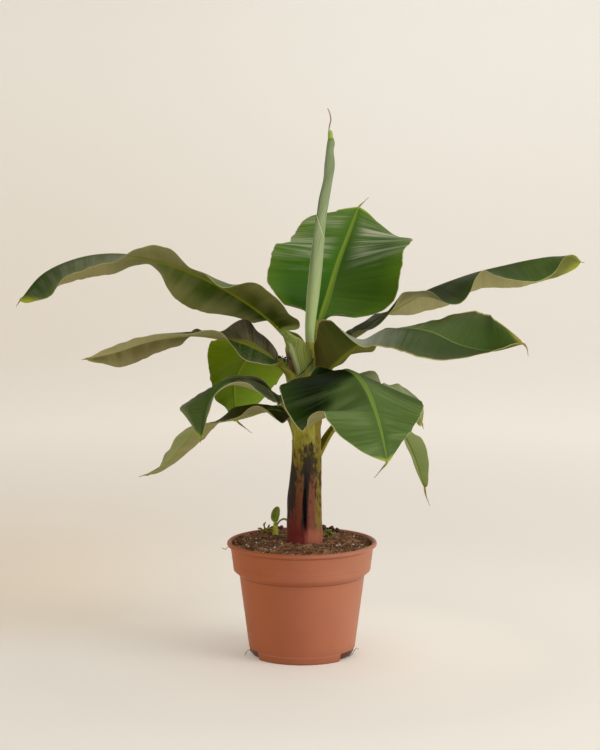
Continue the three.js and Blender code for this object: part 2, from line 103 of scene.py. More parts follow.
# Mesh object from vertices in millimetres and arrays of faces, each array with one corner count.
# Every face is turned over when the closed shape's volume comes out negative.
def meshPiece(name, vertices, faceSets, marks=None, uv=None, body="root"):
    vertices = np.asarray(vertices, float)
    faceSets = [np.asarray(f, int) for f in faceSets if len(f)]
    volume = 0
    for f in faceSets:
        for k in range(1, f.shape[1] - 1):
            a, b, c = vertices[f[:, 0]], vertices[f[:, k]], vertices[f[:, k + 1]]
            volume += np.sum(a * np.cross(b, c))
    order = slice(None, None, -1) if volume < 0 else slice(None)
    corners = np.concatenate([f[:, order].ravel() for f in faceSets])
    sizes = np.concatenate([np.full(len(f), f.shape[1]) for f in faceSets])
    mesh = bpy.data.meshes.new(name)
    mesh.vertices.add(len(vertices))
    mesh.vertices.foreach_set("co", (vertices * metres).astype(np.float32).ravel())
    mesh.loops.add(len(corners))
    mesh.loops.foreach_set("vertex_index", corners.astype(np.int32))
    mesh.polygons.add(len(sizes))
    starts = np.concatenate([[0], np.cumsum(sizes)[:-1]])
    mesh.polygons.foreach_set("loop_start", starts.astype(np.int32))
    mesh.polygons.foreach_set("loop_total", sizes.astype(np.int32))
    mesh.polygons.foreach_set("use_smooth", np.ones(len(sizes), bool))
    mesh.update(calc_edges=True)
    mesh.validate()
    for key, values in (marks or {}).items():
        attribute = mesh.attributes.new(key, "FLOAT", "POINT")
        attribute.data.foreach_set("value", np.asarray(values, np.float32).ravel())
    if uv is not None:
        layer = mesh.uv_layers.new(name="skin")
        layer.data.foreach_set("uv", np.asarray(uv, np.float32)[corners].ravel())
    piece = bpy.data.objects.new(name, mesh)
    bpy.context.scene.collection.objects.link(piece)
    if body:
        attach(piece, body)
    return piece


# Quads of a grid of rows by columns, its columns joined round.
def gridQuads(rows, columns):
    i = np.arange(rows - 1)[:, None]
    j = np.arange(columns)[None, :]
    k = (j + 1) % columns
    corners = (r * columns + q for r, q in ((i, j), (i, k), (i + 1, k), (i + 1, j)))
    return np.stack(np.broadcast_arrays(*corners), -1).reshape(-1, 4)


# Triangles that close both ends of a ring grid with one added vertex each, at the ends' means.
def ringCaps(points):
    rows, columns = points.shape[:2]
    j = np.arange(columns)
    k = (j + 1) % columns
    first = rows * columns
    low = np.stack([np.full(columns, first), k, j], -1)
    top = (rows - 1) * columns
    high = np.stack([np.full(columns, first + 1), top + j, top + k], -1)
    return np.vstack([points.reshape(-1, 3), points[0].mean(0), points[-1].mean(0)]), np.vstack([low, high])


# Closed body from rings of points, with marks and a map given for each grid point.
def loftPiece(name, points, marks=None, uv=None):
    vertices, caps = ringCaps(points)
    quads = gridQuads(*points.shape[:2])

    def capped(values):
        flat = values.reshape(points.shape[0] * points.shape[1], -1)
        ends = [row.reshape(points.shape[1], -1).mean(0) for row in (values[0], values[-1])]
        return np.vstack([flat, ends])

    marks = {key: capped(value) for key, value in (marks or {}).items()}
    return meshPiece(name, vertices, [quads, caps], marks, None if uv is None else capped(uv))


# Directions up and across at each place of a path, with a level side direction.
def pathFrames(centre, side):
    ahead = unit(np.gradient(centre, axis=0))
    up = unit(np.cross(np.broadcast_to(side, ahead.shape), ahead))
    return up, np.cross(ahead, up)


# Vertices, quads and triangles at the ends of many closed grids: points (n, rows, columns, 3).
def closedSet(points):
    n, rows, columns = points.shape[:3]
    j = np.arange(1, columns - 1)
    low = np.stack([0 * j, j + 1, j], -1)
    high = (rows - 1) * columns + np.stack([0 * j, j, j + 1], -1)
    shift = (np.arange(n) * rows * columns)[:, None, None]
    quads, caps = gridQuads(rows, columns)[None] + shift, np.vstack([low, high])[None] + shift
    return points.reshape(-1, 3), quads.reshape(-1, 4), caps.reshape(-1, 3)


# Round tubes along many paths at once: paths (n, m, 3), radii (n, m) or (n, 1).
def tubeSet(paths, radii, sides):
    paths = np.asarray(paths, float)
    n, m = paths.shape[:2]
    ahead = unit(np.gradient(paths, axis=1))
    hint = np.where(np.abs(ahead[..., 2:3]) > 0.8, [1.0, 0.0, 0.0], [0.0, 0.0, 1.0])
    up = unit(np.cross(ahead, np.cross(hint, ahead)))
    across = np.cross(ahead, up)
    a = np.arange(sides) / sides * 2 * math.pi
    ring = up[:, :, None] * np.cos(a)[:, None] + across[:, :, None] * np.sin(a)[:, None]
    return closedSet(paths[:, :, None] + ring * np.broadcast_to(radii, (n, m))[..., None, None])


# Shader maths: a Wire wraps an output socket, and each expression adds its Math node.
class Wire:
    def __init__(self, paint, socket):
        self.paint = paint
        self.socket = socket

    def math(self, operation, *values):
        node = self.paint.node("ShaderNodeMath", {"operation": operation}, dict(enumerate(values)))
        return Wire(self.paint, node.outputs[0])

    def __add__(self, other):
        return self.math("ADD", self, other)

    def __radd__(self, other):
        return self.math("ADD", other, self)

    def __sub__(self, other):
        return self.math("SUBTRACT", self, other)

    def __rsub__(self, other):
        return self.math("SUBTRACT", other, self)

    def __mul__(self, other):
        return self.math("MULTIPLY", self, other)

    def size(self):
        return self.math("ABSOLUTE", self)

    # 0 below low and 1 above high with a smooth step between; low may be the greater
    def step(self, low, high):
        node = self.paint.node("ShaderNodeMapRange", {"interpolation_type": "SMOOTHSTEP"},
                               {"Value": self, "From Min": low, "From Max": high})
        return Wire(self.paint, node.outputs[0])


# A material being painted: nodes come from node(), colours are joined by blend().
class Paint:
    def __init__(self, name):
        self.material = bpy.data.materials.new(name)
        self.material.use_nodes = True
        self.tree = self.material.node_tree
        self.shader = self.tree.nodes["Principled BSDF"]

    def node(self, kind, settings=None, inputs=None):
        made = self.tree.nodes.new(kind)
        for key, value in (settings or {}).items():
            if key == "stops":
                self.setStops(made.color_ramp.elements, value)
            else:
                setattr(made, key, value)
        for key, value in (inputs or {}).items():
            self.feed(made.inputs[key], value)
        return made

    def setStops(self, elements, stops):
        for k, (share, colour) in enumerate(stops):
            element = elements[k] if k < 2 else elements.new(share)
            element.position = share
            element.color = (*tint(*colour), 1)

    def feed(self, socket, value):
        if isinstance(value, Wire):
            self.tree.links.new(value.socket, socket)
        elif isinstance(value, (tuple, list)) and len(value) == 3 and len(socket.default_value) == 4:
            socket.default_value = (*value, 1)
        else:
            socket.default_value = value

    def wire(self, node, output=0):
        return Wire(self, node.outputs[output])

    def mark(self, name):
        return self.wire(self.node("ShaderNodeAttribute", {"attribute_name": name}), "Fac")

    def parts(self, vector):
        node = self.node("ShaderNodeSeparateXYZ", None, {0: vector})
        return [self.wire(node, k) for k in range(3)]

    def place(self):
        return self.wire(self.node("ShaderNodeTexCoord"), "Object")

    def skin(self):
        return self.parts(self.wire(self.node("ShaderNodeUVMap", {"uv_map": "skin"})))

    def vector(self, x, y, z=0.0):
        return self.wire(self.node("ShaderNodeCombineXYZ", None, {0: x, 1: y, 2: z}))

    def noise(self, vector, scale=1.0, detail=2.0, rough=0.5):
        node = self.node("ShaderNodeTexNoise", None,
                         {"Vector": vector, "Scale": scale, "Detail": detail, "Roughness": rough})
        return self.wire(node, "Fac")

    def blend(self, share, a, b):
        node = self.node("ShaderNodeMix", {"data_type": "RGBA"}, {0: share, 6: a, 7: b})
        return self.wire(node, 2)

    # one colour after another over the first, each as far as its share says
    def layers(self, colour, *layers):
        for share, tone in layers:
            colour = self.blend(share, colour, tone if isinstance(tone, Wire) else tint(*tone))
        return colour

    # a colour that changes along a value; one colour alone stays plain
    def ramp(self, value, stops):
        if len(stops) == 1:
            return tint(*stops[0][1])
        return self.wire(self.node("ShaderNodeValToRGB", {"stops": stops}, {0: value}))

    def scale(self, colour, share):
        node = self.node("ShaderNodeVectorMath", {"operation": "SCALE"}, {0: colour, 3: share})
        return self.wire(node)

    def relief(self, height, distance, strength=1.0):
        values = {"Strength": strength, "Distance": distance, "Height": height}
        self.feed(self.shader.inputs["Normal"], self.wire(self.node("ShaderNodeBump", None, values)))

    def finish(self, **inputs):
        for key, value in inputs.items():
            self.feed(self.shader.inputs[key.replace("_", " ")], value)
        return self.material


# A plain colour given as the 0..255 numbers of a colour picker, as linear light.
def tint(red, green, blue):
    return tuple(((c / 255 + 0.055) / 1.055) ** 2.4 if c > 10 else c / 3294.6 for c in (red, green, blue))


# Leaves. The spine runs from inside the trunk to the tip; stalk is the share of it without a
# blade, foot and neck the half widths of the rib at the trunk and where the blade starts.
# reach is the half width, fold and curl the degrees at which each half leaves the rib and how
# much more it turns by its edge. base, lobe and nicks shape the outline, and tail is the path of
# the thread at the tip. left and right are seen from the trunk, looking outward.
leaves = [
    {
        "name": "leaf_upper_left", "stalk": 0.135, "foot": 6, "neck": 4.8,
        "spine": [
            [5, -6, 402], [0, -10, 422], [-23, -16, 453], [-55, -20, 484], [-110, -24, 520],
            [-167, -26, 546], [-215, -28, 560], [-262, -32, 565], [-309, -38, 558],
            [-354, -44, 537], [-384, -50, 502],
        ],
        "tail": [[-389, -51, 494]],
        "left": {
            "reach": [92, 91, 90, 87, 88, 89, 90, 90, 90],
            "fold": [18, 21, 22, 22, 20, 12, 8, 15, 15, 8, -4, -6, -10, -12, -25, -38, -28],
            "curl": [0, 0, 0, -6, -38, -14, -4, 0, 0, 0, 0, 0, 0, 0, 0, 0, 0],
            "base": 4, "lobe": 16,
        },
        "right": {
            "reach": [90, 93, 97, 98, 90, 88, 88, 90, 90],
            "fold": [-24, -25, -33, -29, -9, -24, -28, -30, -40],
        },
    },
    {
        "name": "leaf_mid_left", "stalk": 0.12, "foot": 10, "neck": 4.2,
        "spine": [
            [-8, -20, 383], [-18, -26, 400], [-48, -42, 428], [-74, -52, 444], [-111, -64, 453],
            [-151, -74, 458], [-205, -85, 451], [-252, -90, 436], [-291, -92, 427],
        ],
        "tail": [[-297, -93, 426]],
        "left": {
            "reach": [40, 44, 40, 40, 53, 62, 68, 74, 80],
            "fold": [-28, -29, -36, -43, -33, -5, 21, 24, 23, 22, 23, 23, 23, 21, 18, 14, 10],
            "curl": [0, 0, 0, -10, -30, -20, -10, 0, 0],
        },
        "right": {
            "reach": [59, 64, 65, 52, 44, 72, 83, 84, 84],
            "fold": [34, 35, 29, 33, 7, 3, 3, 3, -24, -25, -24, -26, -28, -31, -31, -25, -24],
        },
    },
    {
        "name": "leaf_back_left", "stalk": 0.2, "foot": 8, "neck": 4,
        "spine": [
            [-6, 10, 361], [-25, 60, 400], [-58, 120, 420], [-83, 165, 397], [-100, 185, 358],
            [-96, 190, 304],
        ],
        "tail": [[-84, 192, 293], [-74, 193, 285]],
        "left": {
            "reach": [40, 84, 84, 76, 74, 79, 83, 87, 83],
            "fold": [46, 36, 14, 7, -19, -32, -42, -54, -56],
        },
        "right": {
            "reach": [86, 78, 66, 58, 62, 72, 80, 86, 88],
            "fold": [-3, -22, -38, -40, -27, -10, -4, 2, 30],
        },
    },
    {
        "name": "leaf_front_left", "stalk": 0.15, "foot": 8, "neck": 4,
        "spine": [
            [-11, -14, 345], [-46, -60, 381], [-83, -120, 405], [-110, -165, 401],
            [-125, -190, 376], [-131, -200, 335],
        ],
        "tail": [[-133, -200, 329]],
        "left": {
            "reach": [53, 43, 38, 37, 45, 55, 64, 69, 70],
            "fold": [-60, -57, -43, -44, -43, -41, -36, -29, -22, -15, -5, 16, 34, 47, 49, 52, 54],
        },
        "right": {
            "reach": [46, 56, 65, 69, 71, 72, 74, 74, 73],
            "fold": [52, 46, 24, 9, -9, -17, -22, -25, -28, -29, -29, -27, -23, -19, -25, -32, -40],
        },
    },
    {
        "name": "leaf_low_left", "stalk": 0.12, "foot": 7, "neck": 3.8,
        "spine": [
            [-7, 4, 314], [-17, 14, 332], [-32, 26, 341], [-53, 38, 340], [-73, 50, 332],
            [-90, 60, 326], [-109, 68, 322], [-133, 80, 315], [-152, 88, 305], [-170, 96, 283],
            [-194, 106, 257], [-222, 115, 236],
        ],
        "tail": [[-230, 118, 234], [-237, 120, 231]],
        "left": {
            "reach": [67, 72, 59, 45, 45, 57, 61, 60, 55],
            "fold": [-30, -19, 11, 0, 1, 2, 1, 3, 4, 1, -3, -6, -6, -11, -13, -9, -2],
            "lobe": 44,
        },
        "right": {
            "reach": [48, 53, 54, 45, 45, 60, 64, 64, 64],
            "fold": [4, 6, 4, 7, 13, 19, 20, 16, 0, -4, -2, 0, 1, 1, -1, -4, -14],
        },
    },
    {
        "name": "leaf_front", "stalk": 0.25, "foot": 9, "neck": 4.6, "stalkFold": 25,
        "spine": [
            [12, -6, 360], [23, -15, 376], [41, -40, 401], [65, -95, 411], [86, -160, 393],
            [101, -190, 351], [111, -200, 304],
        ],
        "tail": [[103, -202, 294], [94, -203, 283]],
        "left": {
            "reach": [30, 77, 100, 100, 97, 100, 100, 99, 101],
            "fold": [-34, -27, -24, -21, -25, -23, -30, -33, -50],
        },
        "right": {
            "reach": [87, 97, 109, 111, 105, 97, 115, 109, 100],
            "fold": [-16, -11, -7, -7, -7, -8, -13, -24, -40, -39, -26, 13, 19, 21, 28, 34, 45],
        },
    },
    {
        "name": "leaf_back_right", "stalk": 0.2, "foot": 8, "neck": 3.8,
        "spine": [
            [14, 14, 358], [31, 26, 373], [61, 50, 379], [94, 78, 371], [129, 100, 361],
            [159, 114, 341], [174, 120, 309],
        ],
        "tail": [[176, 121, 301]],
        "left": {
            "reach": [47, 44, 42, 36, 32, 34, 56, 70, 70],
            "fold": [17, 16, 17, 18, 17, 21, 26, 41, 50, 26, 22, 30, 29, 33, 44, 50, 50],
            "lobe": -45, "nicks": [[0.5, 0.8, 0.012, 0.08]],
        },
        "right": {
            "reach": [60, 60, 60, 60, 60, 62, 65, 68, 68],
            "fold": [-20, -19, -18, -17, -18, -23, -33, -42, -45],
        },
    },
    {
        "name": "leaf_low_right", "stalk": 0.3, "foot": 7, "neck": 4,
        "spine": [
            [11, 12, 245], [22, 16, 278], [45, 30, 316], [77, 58, 335], [112, 84, 331],
            [141, 102, 306], [163, 112, 265], [178, 116, 217],
        ],
        "tail": [[180, 117, 205], [186, 118, 189]],
        "left": {
            "reach": [50, 50, 50, 46, 40, 35, 40, 47, 52],
            "fold": [-35, -31, -25, -13, 3, 18, 19, 21, 23],
        },
        "right": {
            "reach": [50],
            "fold": [-10, -11, -13, -13, -11, -3, -5, -11, -12],
        },
    },
    {
        "name": "leaf_mid_right", "stalk": 0.05, "foot": 9, "neck": 4.8,
        "spine": [
            [8, -4, 377], [24, -10, 392], [59, -25, 427], [90, -40, 450], [133, -55, 465],
            [174, -66, 461], [214, -76, 444], [254, -82, 437], [298, -85, 447],
        ],
        "tail": [[303, -85, 441], [305, -85, 430]],
        "left": {
            "reach": [80, 83, 75, 70, 82, 89, 89, 92, 93],
            "fold": [-12, -5, -2, -15, -1, 2, -3, -3, 1, 6, 18, 31, 36, 41, 51, 49, 20],
        },
        "right": {
            "reach": [60, 63, 60, 60, 85, 91, 90, 89, 88],
            "fold": [95, 99, 91, 71, 49, -4, -14, -16, -16, -16, -16, -12, -5, 2, 5, 6, 11],
            "base": 6, "lobe": -19,
        },
    },
    {
        "name": "leaf_upper_right", "stalk": 0.16, "foot": 8, "neck": 4.2,
        "spine": [
            [8, 5, 403], [22, 13, 416], [53, 30, 435], [84, 45, 451], [110, 58, 469],
            [156, 78, 495], [182, 85, 507], [218, 96, 520], [251, 104, 530], [291, 112, 539],
            [331, 119, 547], [371, 126, 551], [402, 130, 543],
        ],
        "tail": [[407, 131, 542]],
        "left": {
            "reach": [47, 44, 53, 50, 42, 48, 64, 73, 72],
            "fold": [-9, 10, 0, -5, -25, -41, -49, -58, -62, -48, -45, -48, -52, -51, -53, -60, -60],
        },
        "right": {
            "reach": [46, 67, 81, 83, 74, 69, 69, 73, 74],
            "fold": [-12, 5, 8, 16, 26, 18, 10, -5, -13, -7, 4, 10, -1, -10, -17, -25, -28, -20, 2, 8, -7],
        },
    },
    {
        "name": "leaf_back", "stalk": 0.195, "foot": 8, "neck": 4.6,
        "spine": [
            [9, 3, 407], [14, 12, 426], [22, 30, 454], [37, 75, 496], [53, 135, 543],
            [71, 200, 585], [85, 270, 616],
        ],
        "tail": [[95, 285, 625], [101, 292, 630]],
        "left": {
            "reach": [99, 102, 102, 101, 101, 103, 106, 107, 90],
            "fold": [3, 10, 3, 1, 6, -4, -6, 3, 0],
            "nicks": [[0.63, 0.1, 0.02, 0.05], [0.945, 0.3, 0.03, 0.02]],
        },
        "right": {
            "reach": [39, 81, 102, 108, 107, 105, 98, 81, 56],
            "fold": [-17, -17, -19, -13, 7, 14, 18, 15, 11, 7, 1, -6, -14, -22, -26, -29, -25],
            "base": 4,
        },
    },
]

leafShape = {
    "slant": 0.12,  # how far an edge lies ahead of its root on the rib
    "widest": 0.42,
    "stalkFold": 48,
    "base": 2.4,  # roundness of the outline before its widest place, and after it
    "point": 2.1,
    "lobeShare": 0.3,  # share of the blade over which a lobe at its foot dies away
    "lobeWidth": 30,  # width of blade that carries the whole lobe
    "opening": 0.07,  # share of the blade over which the stalk's channel opens
    "step": 1.9,  # millimetres between stations on the blade, and on the stalk
    "stalkStep": 2.5,
    "columns": 24,  # across each half
    "ribColumns": 5,
    "thick": 0.5,  # half thickness at the rib and at the edge
    "thin": 0.28,
    "groove": 0.38,  # depth of the rib's groove as a share of its half width
    "ripple": 0.4,  # height and length of the even ripples, and height of the uneven ones
    "rippleLength": 27,
    "pucker": 0.5,
}


# Half width at u: root of 1 - (distance from the widest place)^p, with p the given base before
# the widest place and point after it.
def bladeOutline(u, base=leafShape["base"]):
    widest = leafShape["widest"]
    r = np.where(u < widest, (widest - u) / widest, (u - widest) / (1 - widest))
    return np.sqrt(np.clip(1 - r ** np.where(u < widest, base, leafShape["point"]), 0, 1))


# Level direction square to the line from a spine's first place to its last.
def levelSide(spine):
    span = spine[-1] - spine[0]
    return unit(np.array([span[1], -span[0], 0]))


# Place and directions ahead, up and across at shares of a leaf's spine.
def leafFrames(spine, share):
    centre = throughPoints(spine, share)[0]
    ahead = unit(throughPoints(spine, share + 0.004)[0] - throughPoints(spine, share - 0.004)[0])
    up = unit(np.cross(levelSide(spine), ahead))
    return centre, ahead, up, np.cross(ahead, up)


# Half width of the rib: from foot to neck along the stalk, then down to 1 mm at the tip.
def ribWidth(spec, s, u):
    neck = spec["neck"]
    stalkPart = smooth(s / spec["stalk"]) ** 0.7
    return np.where(s < spec["stalk"], between(spec["foot"], neck, stalkPart), between(neck, 1, u))


# A blade in rings across its spine. Each half turns from its fold by its curl over the way to
# its edge; ripples lift it along its normal, and nicks narrow it at a place on its edge.
def leafGrid(spec, seed):
    spine = np.array(spec["spine"], float)
    foot = spec["stalk"]
    length = throughPoints(spine, np.zeros(1))[1]
    q = np.linspace(0, 1, int((1 - foot) * length / leafShape["step"]))
    bladeShare = foot + (1 - foot) * between(q, 0.5 - 0.5 * np.cos(math.pi * q), 0.5)
    stalkShare = np.linspace(0, foot, int(foot * length / leafShape["stalkStep"]) + 2, endpoint=False)
    s = np.concatenate([stalkShare, bladeShare])
    centre, ahead, up, across = leafFrames(spine, s)
    u = np.clip((s - foot) / (1 - foot), 0, 1)
    onBlade = np.where(s >= foot, smooth(u / leafShape["opening"]), 0)
    rib = ribWidth(spec, s, u)
    run = s * length
    v = 1 - (1 - np.linspace(0, 1, leafShape["columns"] + 1)) ** 1.25
    stalkFold = spec.get("stalkFold", leafShape["stalkFold"])
    halves = []
    for hand, sign in ((spec["left"], -1), (spec["right"], 1)):
        edge = 1 + 0.012 * patchNoise(run, sign * 9.5, 6, seed)
        edge = edge + 0.006 * patchNoise(run, sign * 5.5, 2.2, seed + 1)
        for where, depth, rise, fall in hand.get("nicks", []):
            edge = edge - depth * np.exp(-np.abs(u - where) / np.where(u < where, rise, fall))
        outline = bladeOutline(u, hand.get("base", leafShape["base"]))
        blade = np.where(s >= foot, np.maximum(0, along(hand["reach"], u) * outline * edge - rib), 0)
        wing = np.maximum(between(rib * 0.9, 0.4, smooth(u / 0.1)), blade)[:, None]
        fold = np.radians(between(stalkFold, along(hand["fold"], u), onBlade))[:, None]
        curl = np.radians(along(hand.get("curl", [0]), u) * onBlade)[:, None]
        curl = np.where(np.abs(curl) < 1e-4, 1e-4, curl)
        turn = fold + curl * v
        a = sign * (rib[:, None] + wing * (np.sin(turn) - np.sin(fold)) / curl)
        b = wing * (np.cos(fold) - np.cos(turn)) / curl
        lobe = smooth(blade / leafShape["lobeWidth"]) * smooth(1 - u / leafShape["lobeShare"])
        forward = leafShape["slant"] * v * ((1 - u) * blade)[:, None]
        forward = forward - (hand.get("lobe", 0) * lobe)[:, None] * v**1.5
        phase = run / leafShape["rippleLength"] + 0.35 * patchNoise(run, sign * 3.3, 40, seed + 2)
        wave = onBlade * bladeOutline(u) * np.sin(phase * 2 * math.pi)
        pucker = leafShape["pucker"] * patchNoise(run[:, None], v * 40 + sign * 60, 11, seed + 3)
        lift = leafShape["ripple"] * wave[:, None] * v**1.6 + onBlade[:, None] * pucker * v
        normal = np.stack([-sign * np.sin(turn), np.cos(turn)], -1)
        halves.append((a, b, forward, lift, normal, wing))
    c = np.linspace(-1, 1, leafShape["ribColumns"] + 2)[1:-1]
    ribAcross = rib[:, None] * c
    ribTop = leafShape["thick"] - leafShape["groove"] * rib[:, None] * (1 - c * c)
    keel = np.where(s < foot, rib * 0.9, between(spec["neck"] * 0.9, 0.3, u))[:, None]
    ribBottom = -leafShape["thick"] - keel * np.sqrt(1 - c * c)

    def place(a, b, forward):
        return (centre[:, None] + across[:, None] * a[..., None] + up[:, None] * b[..., None]
                + ahead[:, None] * forward[..., None])

    body = between(leafShape["thick"], leafShape["thin"], v)
    top, bottom = [], []
    for k, flip in ((0, slice(None, None, -1)), (1, slice(None))):
        a, b, forward, lift, normal, wing = halves[k]
        for rows, thickness in ((top, body), (bottom, -body)):
            rise = lift + thickness
            rows.append(place(a + normal[..., 0] * rise, b + normal[..., 1] * rise, forward)[:, flip])
    top.insert(1, place(ribAcross, ribTop, 0 * ribAcross))
    bottom.insert(1, place(ribAcross, ribBottom, 0 * ribAcross))
    points = np.concatenate(top + [row[:, ::-1] for row in bottom[::-1]], 1)

    def acrossBlade(left, middle, right):
        parts = [np.broadcast_to(part, (len(s), part.shape[-1])) for part in (left, middle, right)]
        row = np.concatenate(parts, 1)
        return np.concatenate([row, row[:, ::-1]], 1)

    ribZero, onRib = np.zeros(len(c)), (v == 0) * 0.5
    leftWing, rightWing = halves[0][-1], halves[1][-1]
    edge = acrossBlade(-v[::-1], ribZero, v)
    marks = {
        "upper": np.broadcast_to(np.repeat([1.0, 0.0], edge.shape[1] // 2), edge.shape),
        "edge": edge,
        "rim": acrossBlade((leftWing * (1 - v))[:, ::-1], ribZero + 20, rightWing * (1 - v)),
        "rib": acrossBlade(onRib[::-1], ribZero + 1, onRib),
        "grown": np.broadcast_to(u[:, None], edge.shape),
        "blade": np.broadcast_to(onBlade[:, None], edge.shape),
    }
    wide = acrossBlade(-(rib[:, None] + leftWing * v)[:, ::-1], ribAcross, rib[:, None] + rightWing * v)
    return points, marks, np.stack([np.broadcast_to(run[:, None], edge.shape), wide], -1) * metres


# Trunk rings from the cut up to the crown: height, x of the centre, radius.
trunkShape = {
    "rings": [
        [157, 3, 25.4], [173, 3, 24.6], [195, 2.5, 23.8], [220, 2, 23.2], [250, 4, 21.8],
        [276, 6, 20.8], [304, 6, 20.2], [325, 5.5, 21], [345, 4.5, 21.6], [366, 3.5, 20.6],
        [385, 3, 18.6], [401, 4, 15.8], [416, 7, 12.4], [430, 10, 9.4], [441, 11, 7],
    ],
    "depth": 0.92,  # front to back size as a share of the width
    "rows": 290,
    "columns": 192,
    # lapping edges of old leaf bases: angle at their foot and head, heights, how far they stand out
    "laps": [
        (4.88, 4.80, 154, 262, 2.4), (5.75, 5.95, 154, 300, 1.4), (0.6, 0.9, 154, 330, 1.5),
        (2.0, 1.7, 154, 350, 1.6), (3.3, 3.5, 154, 340, 1.5), (4.15, 4.35, 168, 372, 1.3),
    ],
    "cleft": (4.79, 4.74, 168, 256, 3.6, 0.075),  # angles, heights, depth and half width in radians
    "blur": (12, 5.0),  # reach and width in millimetres of the softening between the rings
    "swell": (0.05, 0.6),  # share and turn of the three-sided swell
    "footSwell": (0.1, 5.2, 0.5, 45),  # share, angle, width and height of the swelling foot
}
ringTable = np.array(trunkShape["rings"], float)
tableHeights = np.arange(130, 461.0)


# The rings' x or radius at each whole height, softened by a bell curve.
def softTable(column):
    reach, width = trunkShape["blur"]
    values = np.interp(tableHeights, ringTable[:, 0], ringTable[:, column])
    bell = np.exp(-(np.arange(-reach, reach + 1) / width) ** 2)
    return np.convolve(np.pad(values, reach, mode="edge"), bell / bell.sum(), mode="valid")


middleTable, radiusTable = softTable(1), softTable(2)


def trunkMiddle(z):
    return np.stack([np.interp(z, tableHeights, middleTable), 0 * z, z], -1)


def trunkRadius(z):
    return np.interp(z, tableHeights, radiusTable)


def turned(angle):
    return (angle + math.pi) % (2 * math.pi) - math.pi


# Trunk skin: the rings' radius times a three-sided swell, more at the front right foot, with
# lapping edges that stand out and fade away from their lip, a cleft and a fine vertical grain.
def trunkGrid():
    low, high = ringTable[0, 0] - 1, ringTable[-1, 0]
    z = np.linspace(low, high, trunkShape["rows"])[:, None]
    a = (np.arange(trunkShape["columns"]) / trunkShape["columns"] * 2 * math.pi)[None]
    share, twist = trunkShape["swell"]
    footShare, angle, width, height = trunkShape["footSwell"]
    foot = smooth(1 - (z - ringTable[0, 0]) / height)
    lobe = 1 + share * np.cos(3 * a + twist) + footShare * foot * np.exp(-((a - angle) / width) ** 2)
    reach = trunkRadius(z) * lobe - 1.2
    for footAngle, headAngle, bottom, head, height in trunkShape["laps"]:
        line = footAngle + (headAngle - footAngle) * (z - bottom) / (head - bottom)
        line = line + 0.03 * patchNoise(z, footAngle * 7, 18, 5)
        off = turned(a - line)
        sheet = np.where(off > 0, smooth(off / 0.03) * np.exp(-off / 0.9), 0)
        reach = reach + height * sheet * smooth((z - bottom) / 12) * smooth((head - z) / 40)
    first, second, bottom, head, depth, width = trunkShape["cleft"]
    line = first + (second - first) * (z - bottom) / (head - bottom)
    dent = depth * np.exp(-(turned(a - line) / width) ** 2)
    reach = reach - dent * smooth((z - bottom) / 20) * smooth((head - z) / 35)
    reach = reach + 0.35 * patchNoise(a * 13, z * 0.12 + 3, 1.6, 8) + 0.5 * patchNoise(z, a * 12, 17, 9)
    x = trunkMiddle(z[:, 0])[:, :1] + reach * np.cos(a)
    return np.stack([x, trunkShape["depth"] * reach * np.sin(a), z + 0 * a], -1)


sheathShape = {
    "onTrunk": 5,  # places on the trunk's axis, then shares of the way up the stalk
    "onStalk": [0.22, 0.5, 0.78, 1.0],
    "narrowed": [0.35, 0.62, 0.85, 1.0],  # how far the width has come down to the stalk's there
    "stalkSpread": 1.45,  # radians from keel to margin round the stalk
    "sinks": [3.4, 1.9, 0.7],  # taken off the radius of the first places
    "thick": 1.7,  # at the keel and at the margin
    "thin": 0.45,
    "rows": 150,
    "columns": 49,
}


